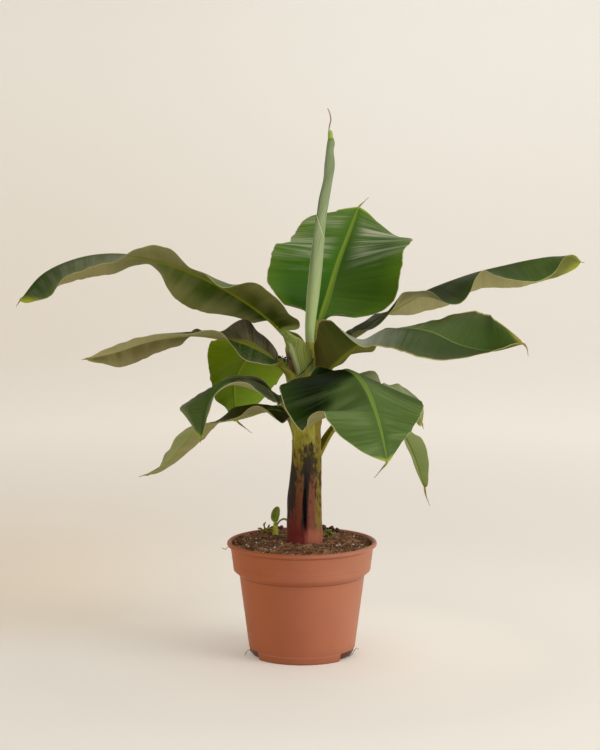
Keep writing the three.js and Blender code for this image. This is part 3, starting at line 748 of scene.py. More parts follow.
# Sheath: the channel in which a leaf's stalk clasps the trunk. Its centre line follows the
# trunk, then leaves it under the stalk; radius and spread narrow on the way.
def sheathGrid(spec, lap):
    spine = np.array(spec["spine"], float)
    foot = spec["stalk"]
    shares = np.linspace(0, 1, 240)
    walked = throughPoints(spine, shares)[0]
    off = np.hypot(*(walked - trunkMiddle(walked[:, 2]))[:, :2].T)
    leave = min(shares[np.argmax(off > trunkRadius(walked[:, 2]) * 0.75)], foot * 0.75)
    leaveHeight = throughPoints(spine, np.array([leave]))[0][0, 2]
    rows = []
    for z in np.linspace(leaveHeight - lap["drop"], leaveHeight - lap["bend"], sheathShape["onTrunk"]):
        rows.append([*trunkMiddle(z), trunkRadius(z) + lap["lift"], lap["spread"]])
    stalkShares = leave + (foot * lap["end"] - leave) * np.array(sheathShape["onStalk"])
    centre, _, up, _ = leafFrames(spine, stalkShares)
    outer = ribWidth(spec, stalkShares, 0 * stalkShares) * 0.9 + leafShape["thick"]
    for k, share in enumerate(sheathShape["narrowed"]):
        radius = between(lap["wide"], outer[k] * 1.12, share) + 0.25
        if share == 1.0:
            radius = outer[k] - 0.5
        middle = centre[k] + up[k] * (radius - outer[k] - 0.2)
        rows.append([*middle, radius, between(lap["spread"], sheathShape["stalkSpread"], share)])
    rows = [list(row) for row in lap.get("rows", rows)]
    for row, sink in zip(rows, sheathShape["sinks"]):
        row[3] -= sink
    t = np.linspace(0, 1, sheathShape["rows"])
    path = throughPoints(rows, t)[0]
    up, across = pathFrames(path[:, :3], levelSide(spine))
    radius, spread = path[:, 3:4], path[:, 4:5]
    c = np.linspace(-1, 1, sheathShape["columns"])
    thick = between(sheathShape["thick"], sheathShape["thin"], np.abs(c)) * between(0.9, 1.0, t[:, None])
    flare = 1 + 0.04 * np.abs(c) ** 6
    angle = spread * c
    squash = between(1.0, trunkShape["depth"], smooth((leaveHeight - path[:, 2:3]) / 25))
    rings = []
    for r in (radius * flare, radius * flare - thick):
        inPlane, sideways = r * np.cos(angle) * squash, r * np.sin(angle) * squash
        ring = path[:, None, :3] - up[:, None] * inPlane[..., None]
        rings.append(ring + across[:, None] * sideways[..., None])
    points = np.concatenate([rings[0], rings[1][:, ::-1]], 1)
    rim = (1 - np.abs(c)) * radius * spread
    turn = c + 0 * radius
    marks = {
        "turn": np.concatenate([turn, turn[:, ::-1]], 1),
        "rim": np.concatenate([rim, rim[:, ::-1]], 1),
        "grown": np.broadcast_to(t[:, None], (len(t), 2 * len(c))),
    }
    run = t * throughPoints(rows, t[:1])[1]
    uv = np.stack([np.broadcast_to(run[:, None], rim.shape), radius * angle], -1) * metres
    return points, marks, np.concatenate([uv, uv[:, ::-1]], 1)


# The rolled new leaf: a tube whose outer turn ends in a slanting rim and a long lapping edge.
spear = {
    # places with the radius there; the last ones are the thread
    "path": [
        [11, 0, 436, 5.2], [11, 0.5, 457, 6.2], [14.8, 3, 499, 8.2], [19, 5, 540, 8.6], [23, 7, 581, 7.9],
        [27, 9, 616, 7.4], [30, 9.5, 636, 7.7], [35.4, 10, 664, 6.9], [37.9, 11, 685, 7.6],
        [38.2, 11.5, 705, 5.6], [39.6, 12, 715, 5.7], [39.4, 12, 719.5, 4.6], [39, 12, 722.5, 3.9],
        [38.8, 12, 727, 3.5], [38.2, 12, 730.6, 2.9], [37.2, 12, 732.2, 1.1], [37.8, 12, 738, 0.85],
        [39.6, 12, 747, 0.8], [38, 12, 756, 0.7], [35.2, 12, 762.4, 0.5],
    ],
    "rimHeight": 601,  # middle height of the slanting rim, and how far it rises to its high side
    "rimRise": 15,
    "rimSide": 4.7,  # angle of its high side
    "lapTurn": 2.2,  # radians that the lapping edge winds on its way up
    "lapStart": 3.9,
    "step": 0.9,  # thickness of the lapping turn
    "length": 330,
    "rows": 330,
    "columns": 72,
}


# The radius grows by the lapping turn's thickness: a part of it below the rim, and the lap, which
# falls slowly from its edge round the leaf. On the thread there is neither.
def spearGrid():
    t = np.linspace(0, 1, spear["rows"])
    walked = throughPoints(spear["path"], t)[0]
    centre, height, radius = walked[:, :3], walked[:, 2:3], walked[:, 3:4]
    up, across = pathFrames(centre, np.array([0.0, 1.0, 0.0]))
    a = np.arange(spear["columns"]) / spear["columns"] * 2 * math.pi
    rim = spear["rimHeight"] + spear["rimRise"] * np.cos(a - spear["rimSide"])
    outerTurn = smooth((rim - height) / 2.5)
    off = (a - spear["lapStart"] - spear["lapTurn"] * t[:, None]) % (2 * math.pi) / (2 * math.pi)
    lap = np.minimum(off / 0.02, 1) * (1 - off)
    reach = radius + spear["step"] * (0.6 * outerTurn - 0.8 + lap) * smooth((radius - 2) / 3)
    points = centre[:, None] + up[:, None] * (reach * np.sin(a))[..., None]
    points = points + across[:, None] * (reach * np.cos(a))[..., None]
    grown = t[:, None] + 0 * a
    marks = {"lap": lap, "over": rim - height, "grown": grown, "turn": a / (2 * math.pi) + 0 * grown}
    return points, marks, np.stack([grown * spear["length"], radius * a], -1) * metres


# Pot: a turned shell given by its outline, with three wide drain slots set back in its foot.
pot = {
    "height": 161, "rim": 105, "collar": 100, "collarFoot": 121, "collarDraft": 4, "shoulder": 6,
    "bodyTop": 88, "foot": 73, "wall": 2.4, "lip": 7, "lipRadius": 3.3,
    "slots": [(-2.87, 0.34), (-0.33, 0.44), (1.57, 0.385)],  # middle angle and half width
    "slotTop": 11.4,
    "slotStep": 8.8,  # height of the step in a slot, and its depth above and below it
    "slotDepths": (3.0, 12.0),
    "columns": 360,
}


# The outline's points are radius and height, up the outside and down the inside.
def potGrid():
    rim, collar, wall, top, foot = (pot[key] for key in ("rim", "collar", "wall", "height", "foot"))
    lipFoot, curve = top - pot["lip"], pot["lipRadius"]
    bend = np.linspace(-0.5 * math.pi, 0.5 * math.pi, 13)
    lip = [(rim - curve + curve * math.cos(b), top - curve - 0.05 + curve * math.sin(b)) for b in bend]
    slotTop, step, body = pot["slotTop"], pot["slotStep"], pot["bodyTop"]
    low, collarFoot = collar - pot["collarDraft"], pot["collarFoot"]
    turnIn = collarFoot - pot["shoulder"]
    slope = (body - foot) / turnIn
    heights = (2.4, step - 0.4, step - 0.2, step, slotTop - 0.4, slotTop - 0.2, slotTop, slotTop + 0.25,
               slotTop + 1, slotTop + 4, 25, 45, 65, 85, 105)
    outline = np.array([
        (0, 0), (40, 0), (57, 0), (foot - 1.6, 0), (foot - 0.6, 0.3), (foot - 0.1, 1.2),
        *((foot + slope * z, z) for z in heights),
        (body - 0.3, turnIn - 1.2), (body + 0.6, turnIn - 0.2), (body + 1.4, turnIn + 0.3),
        (low - 1.4, collarFoot - 1.4), (low - 0.4, collarFoot - 0.4), (low + 0.05, collarFoot + 0.7),
        (low + 0.9, collarFoot + 8), (low + 0.75, collarFoot + 8.5), (collar - 2, 137),
        (collar - 0.2, lipFoot - 2), (collar + 0.1, lipFoot - 0.6), *lip,
        (rim - curve - 1.2, top - 0.4), (collar - wall + 0.3, top - 4), (collar - wall, lipFoot - 2),
        (low - wall, collarFoot - 1), (body - wall, turnIn - 2), (foot - wall, wall), (0, wall),
    ], float)
    a = np.arange(pot["columns"]) / pot["columns"] * 2 * math.pi
    row, z = np.arange(len(outline)), outline[:, 1]
    cut = sum(smooth((half - np.abs(turned(a - angle))) / 0.03) for angle, half in pot["slots"])
    cut = cut * ((row > 2) & (z < slotTop - 0.1) & (row < 16))[:, None]
    r = outline[:, :1] - np.where(z > step - 0.1, *pot["slotDepths"])[:, None] * cut
    points = np.stack([r * np.cos(a), r * np.sin(a), outline[:, 1:] + 0 * a], -1)
    inner = (row > len(outline) - 9)[:, None] + 0 * a
    return points[1:-1], {"hole": cut[1:-1], "inner": inner[1:-1]}


# Soil: a mound of clods between pot wall and trunk, as heights over a ring grid.
soil = {
    "edge": 97.0, "level": 154, "mound": 5, "rows": 210, "columns": 420,
    "under": [[96.5, 140.0], [80, 138]],  # radius and height of the rings that close it below
}


# Height of the soil: a mound with noise of four sizes and a low ridge by the wall; it lies higher
# at the back, has a pocket by the right shoot and a heap on the left of the trunk.
def soilHeight(x, y):
    share = np.hypot(x, y) / soil["edge"]
    height = soil["level"] + soil["mound"] * smooth((0.95 - share) / 0.6)
    height = height + 1.7 * patchNoise(x, y, 13, 21) + 1.3 * patchNoise(x + 40, y, 6, 22)
    height = height + 1.0 * patchNoise(x, y + 70, 2.7, 23) + 0.5 * patchNoise(x, y, 1.3, 24)
    height = height + 2.2 * np.exp(-((share - 0.97) / 0.05) ** 2) * (0.4 + patchNoise(x, y, 9, 25))
    back = smooth((y - 15 - 0.2 * x) / 55) * smooth((share - 0.45) / 0.3)
    pocket = np.exp(-((x - 34) / 12) ** 2 - ((y - 42) / 16) ** 2)
    heap = smooth((38 - np.hypot(x, y)) / 9) * smooth((14 - x) / 30) * (1.2 + patchNoise(x, y, 7, 26))
    height = height + 2.6 * heap
    return np.minimum(height + 3.6 * back - 3 * pocket, 160.4)


def soilGrid():
    share = np.linspace(0.15, 1, soil["rows"])[:, None]
    a = np.arange(soil["columns"]) / soil["columns"] * 2 * math.pi
    x, y = share * soil["edge"] * np.cos(a), share * soil["edge"] * np.sin(a)
    top = np.stack([x, y, soilHeight(x, y)], -1)
    r, z = np.array(soil["under"]).T[..., None]
    return np.concatenate([top, np.stack([r * np.cos(a), r * np.sin(a), z + 0 * a], -1)], 0)


# Loose bits: lumps from one small uneven ball, spread over the soil by seeded places.
def lumpSet(places, sizes, seed, flat=0.75):
    rng = np.random.default_rng(seed)
    bands, slices = 4, 6
    polar = (np.arange(bands) + 0.5) / bands * math.pi
    a = np.arange(slices) / slices * 2 * math.pi
    ball = np.stack([np.sin(polar)[:, None] * np.cos(a), np.sin(polar)[:, None] * np.sin(a),
                     np.cos(polar)[:, None] + 0 * a], -1).reshape(-1, 3)
    n = len(places)
    turn = rng.random(n) * 2 * math.pi
    lump = ball[None] * rng.uniform(0.7, 1.25, (n, len(ball), 1)) * [1, rng.uniform(0.6, 1), flat]
    x = lump[..., 0] * np.cos(turn)[:, None] - lump[..., 1] * np.sin(turn)[:, None]
    y = lump[..., 0] * np.sin(turn)[:, None] + lump[..., 1] * np.cos(turn)[:, None]
    points = np.stack([x, y, lump[..., 2]], -1) * sizes[:, None, None] + places[:, None]
    return closedSet(points.reshape(n, bands, slices, 3))


def soilPlaces(n, rng, inner=30, outer=95):
    r = np.sqrt(rng.uniform(inner**2, outer**2, n))
    a = rng.uniform(0, 2 * math.pi, n)
    x, y = r * np.cos(a), r * np.sin(a)
    return np.stack([x, y, soilHeight(x, y)], -1)


# Leaf finish: fine veins along the rings of the blade, wider bands and fine specks of painted
# sheen, a brighter edge with a pale rim line, the rib, and the underside. The colour of each half
# changes from its base to its tip by the stops of topLeft, topRight, underLeft and underRight;
# on some leaves these stops also hold painted shade and painted sheen.
def leafSkin(name, look):
    paint = Paint(name)
    run, wide, _ = paint.skin()
    edge, rim, rib = (paint.mark(key) for key in ("edge", "rim", "rib"))
    upper, grown, blade = (paint.mark(key) for key in ("upper", "grown", "blade"))
    seed = look["seed"]
    hair = paint.noise(paint.vector(run * 1300, wide * 22, seed))
    veins = paint.noise(paint.vector(run * 330, wide * 8, seed + 5))
    bands = paint.noise(paint.vector(run * 60, wide * 7, seed + 9), detail=1.0)
    patches = paint.noise(paint.place(), 18.0)
    # fine light specks of painted reflection, laid on in the sheen colour
    sheenSpecks = paint.noise(paint.vector(run * 800, wide * 160, seed + 2)).step(0.62, 0.7)
    lines = (hair * 0.4 + veins * 0.6).step(0.36, 0.64)
    right, outer = edge.step(-0.02, 0.02), edge.size()
    growth = grown + (patches - 0.5) * 0.12
    onRib = rib.step(0.3, 0.9) * 0.9

    # painted sheen: bands of glancing reflection coloured onto the upper face, placed by sheenShare and
    # sheenAt
    first, last = look["sheenShare"]
    middle, reach = look["sheenAt"]
    near = (growth - middle).size().step(reach, reach * 0.4)
    sheen = (bands * 0.5 + veins * 0.3 + hair * 0.2).step(0.42, 0.64) * (right * (last - first) + first)
    byRib = outer.step(look["ribSpread"], look["ribSpread"] * 0.5) * blade * 0.8
    rightTop = paint.ramp(growth - outer * look["skew"], look["topRight"])
    top = paint.blend(right, paint.ramp(growth, look["topLeft"]), rightTop)
    top = paint.layers(
        paint.scale(top, 0.76 + lines * 0.24 + patches * 0.34),
        (outer.step(0.6, 1.0) * look["edgeShare"], look["edge"]),
        (sheen * near * outer.step(0.02, 0.3), look["sheen"]),
        (sheenSpecks * look["sheenSpecks"], look["sheen"]), (byRib, look["ribTop"]), (onRib, look["ribTop"]))

    below = paint.blend(right, paint.ramp(growth, look["underLeft"]), paint.ramp(growth, look["underRight"]))
    below = paint.layers(
        below, (outer.step(0.25, 1.0) * look["paleShare"], look["underPale"]),
        (bands.step(0.42, 0.66) * 0.25, look["underPale"]))
    below = paint.scale(below, 0.88 + lines * 0.12 + patches * 0.2)
    below = paint.blend(onRib, below, tint(*look["ribUnder"]))

    rimLine = rim.step(look["rimWidth"], look["rimWidth"] * 0.4) * blade * look["rimShare"]
    stalk = paint.scale(tint(*look["stalk"]), 0.8 + lines * 0.3)
    colour = paint.layers(
        below, (upper.step(0.4, 0.6), top), (rimLine, look["rim"]), (blade.step(0.25, 0.02), stalk),
        ((grown + outer * 0.03).step(0.97, 1.01), look["tip"]))
    paint.relief(hair * 0.3 + veins * 0.5 + bands * 0.6 - rib * 0.2, 0.0011, 0.5)
    rough = 0.66 - upper * 0.16 + lines * 0.08
    return paint.finish(Base_Color=colour, Roughness=rough, Specular_IOR_Level=0.06)


# What a leaf's finish is where its own look says nothing else.
leafBase = {
    "seed": 1.0, "topLeft": [(0, (58, 86, 14))], "topRight": [(0, (58, 86, 14))], "edge": (92, 118, 30),
    "edgeShare": 0.5, "sheenSpecks": 0.0, "skew": 0.0, "ribSpread": 0.012, "rimWidth": 1.5,
    "sheenAt": (0.5, 2.0), "sheen": (110, 120, 76), "sheenShare": (0.35, 0.35), "ribTop": (108, 126, 44),
    "ribUnder": (136, 134, 52), "underLeft": [(0, (140, 136, 86))], "underRight": [(0, (140, 136, 86))],
    "underPale": (160, 152, 110), "paleShare": 0.2, "rim": (176, 176, 120), "rimShare": 0.7,
    "stalk": (128, 128, 44), "tip": (150, 150, 48),
}
leafLooks = {
    "leaf_upper_left": {
        "seed": 2.0, "topLeft": [(0.3, (80, 84, 46)), (0.7, (64, 76, 30)), (0.95, (44, 64, 12))],
        "topRight": [(0.3, (58, 76, 18)), (0.8, (54, 70, 20))], "sheen": (118, 118, 96),
        "sheenShare": (0.5, 0.15),
        "underLeft": [
            (0.08, (58, 72, 6)), (0.25, (112, 116, 46)), (0.5, (140, 138, 80)), (0.8, (150, 146, 92)),
        ],
        "underRight": [
            (0.08, (46, 66, 2)), (0.3, (62, 84, 4)), (0.5, (104, 118, 48)), (0.66, (172, 162, 112)),
        ],
        "underPale": (158, 154, 102), "paleShare": 0.35, "ribUnder": (140, 150, 24),
        "ribTop": (120, 134, 40), "stalk": (146, 162, 84), "tip": (156, 164, 36),
    },
    "leaf_mid_left": {
        "seed": 3.0, "topLeft": [(0.2, (38, 60, 8)), (0.6, (60, 62, 26))],
        "topRight": [(0.1, (66, 60, 36)), (0.3, (92, 84, 60))], "edge": (104, 94, 70), "edgeShare": 0.3,
        "sheen": (150, 140, 122), "sheenShare": (0.15, 0.45), "sheenSpecks": 0.5, "ribTop": (116, 120, 44),
        "ribSpread": 0.2, "underLeft": [(0.2, (120, 120, 62)), (0.5, (166, 162, 112))],
        "underRight": [(0.3, (130, 126, 74)), (0.55, (108, 104, 56))], "underPale": (164, 154, 108),
        "paleShare": 0.45, "ribUnder": (160, 160, 92),
    },
    "leaf_back_left": {
        "seed": 4.0, "topLeft": [(0, (60, 92, 10))], "topRight": [(0, (60, 92, 10))],
        "underLeft": [(0.2, (118, 142, 12)), (0.8, (98, 124, 20))],
        "underRight": [(0.2, (108, 134, 4)), (0.8, (122, 152, 42))], "underPale": (128, 148, 24),
        "ribUnder": (150, 162, 56), "rimShare": 0.3, "rim": (130, 140, 50), "tip": (150, 156, 60),
    },
    # the dark stops of topLeft and topRight are painted shade; edge, with its large share, is a painted
    # grey-green sheen along the edges
    "leaf_front_left": {
        "seed": 5.0, "topLeft": [(0.2, (54, 62, 24)), (0.5, (30, 36, 8)), (0.7, (58, 84, 32))],
        "topRight": [(0.3, (22, 27, 0)), (0.6, (24, 36, 0)), (0.8, (64, 84, 32))], "edge": (128, 128, 92),
        "edgeShare": 0.7, "sheen": (120, 126, 92), "sheenShare": (0.5, 0.1), "ribTop": (70, 86, 26),
        "underPale": (170, 160, 122), "underLeft": [(0, (140, 136, 94))],
        "underRight": [(0, (140, 136, 92))], "tip": (140, 160, 44),
    },
    "leaf_low_left": {
        "seed": 6.0, "topLeft": [(0.2, (50, 54, 10)), (0.4, (70, 64, 30))],
        "topRight": [(0.2, (42, 50, 8)), (0.4, (64, 60, 28))], "edge": (84, 80, 44), "edgeShare": 0.2,
        "sheenShare": (0.1, 0.1), "paleShare": 0.1,
        "underLeft": [(0.3, (138, 132, 88)), (0.6, (150, 162, 98))],
        "underRight": [(0.3, (122, 112, 68)), (0.6, (150, 148, 92))], "underPale": (172, 160, 122),
        "ribUnder": (162, 168, 78),
    },
    # the darkest first stops of topRight, slanted back by skew, are painted shade on the lobe that turns
    # away from the light
    "leaf_front": {
        "seed": 7.0, "topLeft": [(0.15, (42, 68, 10)), (0.45, (82, 102, 54)), (0.9, (60, 86, 26))],
        "topRight": [(0.24, (10, 22, 0)), (0.3, (26, 42, 2)), (0.36, (66, 84, 36)), (0.8, (70, 92, 42))],
        "skew": 0.34, "edge": (70, 100, 26), "edgeShare": 0.2, "sheen": (126, 144, 92),
        "sheenShare": (0.4, 0.3), "sheenAt": (0.75, 0.45), "ribTop": (104, 128, 54),
        "rim": (196, 196, 150), "tip": (150, 166, 60),
    },
    "leaf_back_right": {
        "seed": 8.0, "topLeft": [(0.3, (44, 58, 12)), (0.45, (140, 146, 108)), (0.85, (120, 130, 84))],
        "topRight": [(0.2, (48, 62, 14)), (0.4, (110, 112, 50))],
        "underLeft": [(0.3, (150, 150, 96)), (0.6, (170, 174, 140))], "underRight": [(0, (120, 124, 56))],
        "underPale": (170, 166, 128), "sheenShare": (0.1, 0.1),
    },
    "leaf_low_right": {
        "seed": 9.0, "topLeft": [(0, (70, 92, 30))], "topRight": [(0, (70, 92, 30))],
        "underLeft": [(0.5, (170, 188, 130)), (0.95, (144, 172, 92))],
        "underRight": [(0.5, (160, 182, 118)), (0.95, (134, 164, 84))], "underPale": (172, 182, 132),
        "tip": (150, 134, 60), "stalk": (146, 142, 46),
    },
    # the pale grey first stops of topLeft and topRight are painted sheen near the base
    "leaf_mid_right": {
        "seed": 10.0, "topLeft": [(0.2, (138, 140, 120)), (0.5, (76, 92, 46)), (0.9, (54, 74, 22))],
        "topRight": [(0.3, (140, 143, 124)), (0.5, (58, 72, 34)), (0.9, (48, 66, 20))],
        "sheen": (136, 142, 118), "sheenShare": (0.6, 0.3), "sheenAt": (0.3, 0.34), "rimWidth": 3.4,
        "underLeft": [(0, (104, 104, 44))], "underRight": [(0.05, (88, 82, 34)), (0.2, (80, 92, 34))],
        "underPale": (112, 104, 56), "paleShare": 0.1, "ribTop": (110, 122, 64),
        "ribUnder": (124, 134, 30), "edge": (98, 100, 66), "edgeShare": 0.3, "rim": (182, 174, 112),
        "rimShare": 0.85, "tip": (150, 140, 60),
    },
    "leaf_upper_right": {
        "seed": 11.0, "topLeft": [(0.2, (48, 50, 28)), (0.5, (34, 48, 2)), (0.9, (74, 86, 40))],
        "topRight": [(0.2, (44, 46, 24)), (0.5, (36, 50, 2)), (0.9, (60, 80, 20))], "edge": (66, 98, 20),
        "edgeShare": 0.3, "sheen": (112, 118, 92), "sheenShare": (0.5, 0.1),
        "underLeft": [(0.8, (156, 152, 104)), (0.9, (130, 136, 66))],
        "underRight": [(0.8, (150, 146, 98)), (0.9, (120, 130, 56))], "underPale": (172, 166, 122),
        "ribTop": (62, 68, 30), "ribUnder": (132, 136, 34), "tip": (168, 172, 60),
    },
    "leaf_back": {
        "seed": 12.0, "topLeft": [(0.1, (42, 76, 8)), (0.5, (54, 96, 0)), (0.9, (70, 104, 6))],
        "topRight": [(0.15, (60, 88, 22)), (0.5, (42, 74, 0)), (0.9, (60, 92, 0))], "edge": (92, 122, 24),
        "sheen": (164, 166, 136), "sheenShare": (0.65, 1.0), "sheenAt": (0.66, 0.34),
        "ribTop": (104, 128, 36), "tip": (142, 160, 40),
    },
}


# Colours of trunk and clasping stalks by their place in millimetres. From the soil up they go
# through the stops of heightTones; the left edge is darkened as painted shade, a cleft of painted
# shade and dark spots lie in the middle, right of it the colour is pinkish, and a yellow strip runs
# up the right side.
stemTones = {
    "heightTones": [
        (0.0, (108, 30, 22)), (0.18, (102, 32, 20)), (0.42, (100, 48, 20)), (0.6, (108, 74, 22)),
        (0.78, (138, 122, 20)), (0.95, (152, 146, 30)),
    ],
    "low": 157, "high": 322, "pink": (126, 70, 52), "rose": (170, 96, 74), "yellow": (128, 110, 26),
    # dark serves both the painted shade of the left edge and the real dark spots; cleft is painted shade
    "pale": (182, 176, 96), "dark": (22, 17, 6), "violet": (44, 28, 30), "cleft": (12, 3, 2),
    "dirt": (74, 48, 34),
}


def stemColour(paint):
    x, y, z = (part * 1000 for part in paint.parts(paint.place()))
    tones = stemTones
    streak = paint.noise(paint.vector(x * 0.3, y * 0.3, z * 0.02), detail=3.0)
    fibre = paint.noise(paint.vector(x * 1.1, y * 1.1, z * 0.04))
    blots = paint.noise(paint.vector(x * 0.2, y * 0.2, z * 0.09), detail=5.0, rough=0.66)
    front = y.step(8, -6)
    height = (z + (streak - 0.5) * 50 - tones["low"]) * (1 / (tones["high"] - tones["low"]))
    strip = (x + streak * 5).step(18.5, 23) * (z - streak * 14).step(160, 184)
    colour = paint.layers(
        paint.ramp(height, tones["heightTones"]),
        ((streak + fibre * 0.3).step(0.62, 0.8) * z.step(262, 300) * 0.6, tones["pale"]),
        (x.step(6, 11) * z.step(262, 240) * front * 0.7, tones["pink"]),
        (x.step(2, 7) * (z - streak * 8).step(182, 168) * front * 0.8, tones["rose"]),
        (strip * 0.85, tones["yellow"]))
    # painted shade: the left side of the trunk, away from the key lamp, is darkened
    leftShade = (x - streak * 11).step(-11, -21) * (z - streak * 16).step(166, 222)
    leftShade = leftShade * (z + streak * 30).step(312, 276)
    inside = (x - streak * 4).step(-7, 2) * (x - streak * 4).step(20, 12)
    patch = inside * z.step(238, 262) * (z - blots * 24).step(300, 280)
    spots = (z - streak * 20).step(310, 280) * 0.1 + strip * z.step(300, 250) * 0.06
    spots = spots - front * z.step(225, 190) * 0.08
    dark = (leftShade * 0.44 + patch * front * 0.2 + spots + blots).step(0.6, 0.8)
    # painted shade: near black down the cleft
    line = 2.2 + (z - 180) * 0.06 + (streak - 0.5) * 2
    cleft = (x - line + (blots - 0.5) * 5).size().step(5.6, 2.2) * z.step(168, 192) * z.step(276, 250)
    colour = paint.layers(
        paint.scale(colour, 0.72 + streak * 0.3 + fibre * 0.28), (dark * 0.88, tones["dark"]),
        (patch * front * blots.step(0.4, 0.6) * 0.5, tones["violet"]), (cleft * front, tones["cleft"]),
        ((z - blots * 10).step(157, 151) * 0.8, tones["dirt"]))
    return colour, streak, fibre


def stemSkin():
    paint = Paint("trunkSkin")
    colour, streak, fibre = stemColour(paint)
    paint.relief(fibre * 0.5 + streak * 0.5, 0.0012, 0.6)
    return paint.finish(Base_Color=colour, Roughness=0.46 + streak * 0.2, Specular_IOR_Level=0.25)


# Sheaths: the trunk's colours low down, the leaf's own above, with a thin margin line. blush is
# a brown flush on one side of the keel, cream a pale stripe beside it.
def sheathSkin(name, look):
    paint = Paint(name)
    run, wide, _ = paint.skin()
    turn, rim, grown = (paint.mark(key) for key in ("turn", "rim", "grown"))
    low, streak, fibre = stemColour(paint)
    veins = paint.noise(paint.vector(run * 20, wide * 700, look["seed"]), detail=3.0)
    own = paint.layers(
        tint(*look["green"]), (veins.step(0.35, 0.65), look["pale"]),
        ((grown + veins * 0.1).step(0.72, 0.95), look["stalk"]))
    for key in ("cream", "blush"):
        middle, half, start, end, share = look[key]
        off = (turn + (veins - 0.5) * 0.12 - middle).size()
        mask = off.step(half, half * 0.35) * (grown - veins * 0.1).step(end, end - 0.2)
        own = paint.blend(mask * grown.step(start, start + 0.12) * share, own, tint(*look[key + "Tone"]))
    grownOut = (grown + streak * 0.2).step(look["change"], look["change"] + 0.25)
    rimLine = rim.step(2.2, 0.9) * look["rimShare"] * grown.step(0.1, 0.35)
    colour = paint.layers(low, (grownOut, own), (rimLine, look["rim"]))
    paint.relief(fibre * 0.4 + veins * 0.6, 0.0008, 0.5)
    return paint.finish(Base_Color=colour, Roughness=0.5 + veins * 0.12, Specular_IOR_Level=0.3)


# What a sheath is where its own look says nothing else. cream and blush are each a middle and
# half width across, a start and end along it, and a share.
sheathBase = {
    "seed": 1.0, "green": (124, 122, 28), "pale": (152, 148, 46), "stalk": (122, 122, 40),
    "blush": (0.0, 0.3, 0.0, 0.1, 0.0), "blushTone": (118, 84, 56), "cream": (0.0, 0.3, 0.0, 0.1, 0.0),
    "creamTone": (186, 186, 146), "rim": (156, 134, 64), "rimShare": 0.4, "change": 0.4, "drop": 40,
    "bend": 12, "lift": 0.5, "spread": 2.2, "wide": 12, "end": 0.95,
}
# innermost leaf first; lift grows with the age of the leaf
sheathLooks = {
    "leaf_back": {"seed": 2.0, "drop": 30, "lift": 0.1, "wide": 8},
    "leaf_upper_left": {
        "seed": 3.0, "green": (116, 132, 44), "pale": (148, 160, 84),
        "blush": (-0.17, 0.3, 0.06, 0.66, 0.95), "cream": (-0.4, 0.15, 0.14, 1.5, 0.9),
        "blushTone": (90, 56, 16), "creamTone": (192, 206, 146), "rim": (176, 168, 96), "rimShare": 0.7,
        "stalk": (154, 170, 96), "change": 0.02,
        "rows": [
            [3, 0, 366, 20, 2.6], [2, 0, 378, 19.6, 2.6], [1, 0, 390, 19, 2.6], [0, 0, 408, 19, 2.5],
            [-3, -2, 426, 19.5, 2.3], [-7, -4, 440, 18, 2.1], [-15, -9, 450, 12, 1.9],
            [-24, -14, 459, 7, 1.6], [-34, -18, 467, 5.4, 1.45],
        ],
    },
    "leaf_upper_right": {"seed": 4.0, "lift": 0.3, "wide": 10},
    "leaf_mid_right": {"seed": 5.0},
    "leaf_mid_left": {"seed": 6.0, "lift": 0.7},
    "leaf_back_left": {"seed": 7.0, "lift": 0.8},
    "leaf_back_right": {"seed": 8.0, "lift": 0.9},
    "leaf_front": {"seed": 9.0, "drop": 50, "lift": 1.0},
    "leaf_front_left": {"seed": 10.0, "drop": 50, "lift": 1.1},
    "leaf_low_left": {"seed": 11.0, "drop": 50, "lift": 1.2},
    "leaf_low_right": {
        "seed": 12.0, "drop": 60, "lift": 1.4, "spread": 1.3, "wide": 8, "green": (146, 138, 52),
        "pale": (164, 156, 72),
    },
}


def spearSkin():
    paint = Paint("rolledLeafSkin")
    run, wide, _ = paint.skin()
    lap, grown, turn, over = (paint.mark(key) for key in ("lap", "grown", "turn", "over"))
    fine = paint.noise(paint.vector(run * 30, wide * 1500 + run * 250, 3.0))
    broad = paint.noise(paint.vector(run * 10, wide * 260 + run * 60, 8.0))
    colour = paint.layers(
        tint(136, 154, 104), (fine.step(0.35, 0.65), (160, 174, 134)),
        (broad.step(0.45, 0.7) * 0.4, (116, 140, 70)), (lap.step(0.2, 0.03), (96, 112, 62)),
        (lap.step(0.93, 0.985) * 0.8, (176, 184, 140)), (grown.step(0.45, 0.1) * 0.85, (176, 194, 128)))
    side = (turn + (fine - 0.5) * 0.05 - 0.73).size().step(0.12, 0.05) * grown.step(0.5, 0.54)
    colour = paint.layers(
        paint.scale(colour, 1.0 - grown.step(0.45, 0.75) * 0.3),
        (side * grown.step(0.7, 0.62) * 0.85, (66, 66, 24)),
        # the pale rim of the outer turn, and painted shade in the crease just above it
        ((over - 1.0).size().step(1.4, 0.6) * 0.8, (206, 212, 172)),
        ((over + 1.6).size().step(1.6, 0.5) * 0.55, (76, 92, 44)),
        # the thread: its green foot, its length and its brown end
        ((grown - 0.866).size().step(0.008, 0.003) * 0.8, (92, 124, 30)),
        (grown.step(0.868, 0.875), (150, 164, 70)), (grown.step(0.9, 0.915), (140, 100, 76)))
    paint.relief(fine * 0.6 + broad * 0.4, 0.0006, 0.5)
    return paint.finish(Base_Color=colour, Roughness=0.5 + fine * 0.1, Specular_IOR_Level=0.3)


def threadSkin():
    paint = Paint("threadSkin")
    grain = paint.noise(paint.place(), 500.0)
    browned = (paint.mark("grown") + grain * 0.3).step(0.25, 0.75)
    paint.relief(grain, 0.0004, 0.6)
    colour = paint.blend(browned, tint(150, 146, 52), tint(132, 96, 72))
    return paint.finish(Base_Color=colour, Roughness=0.6 + grain * 0.1)


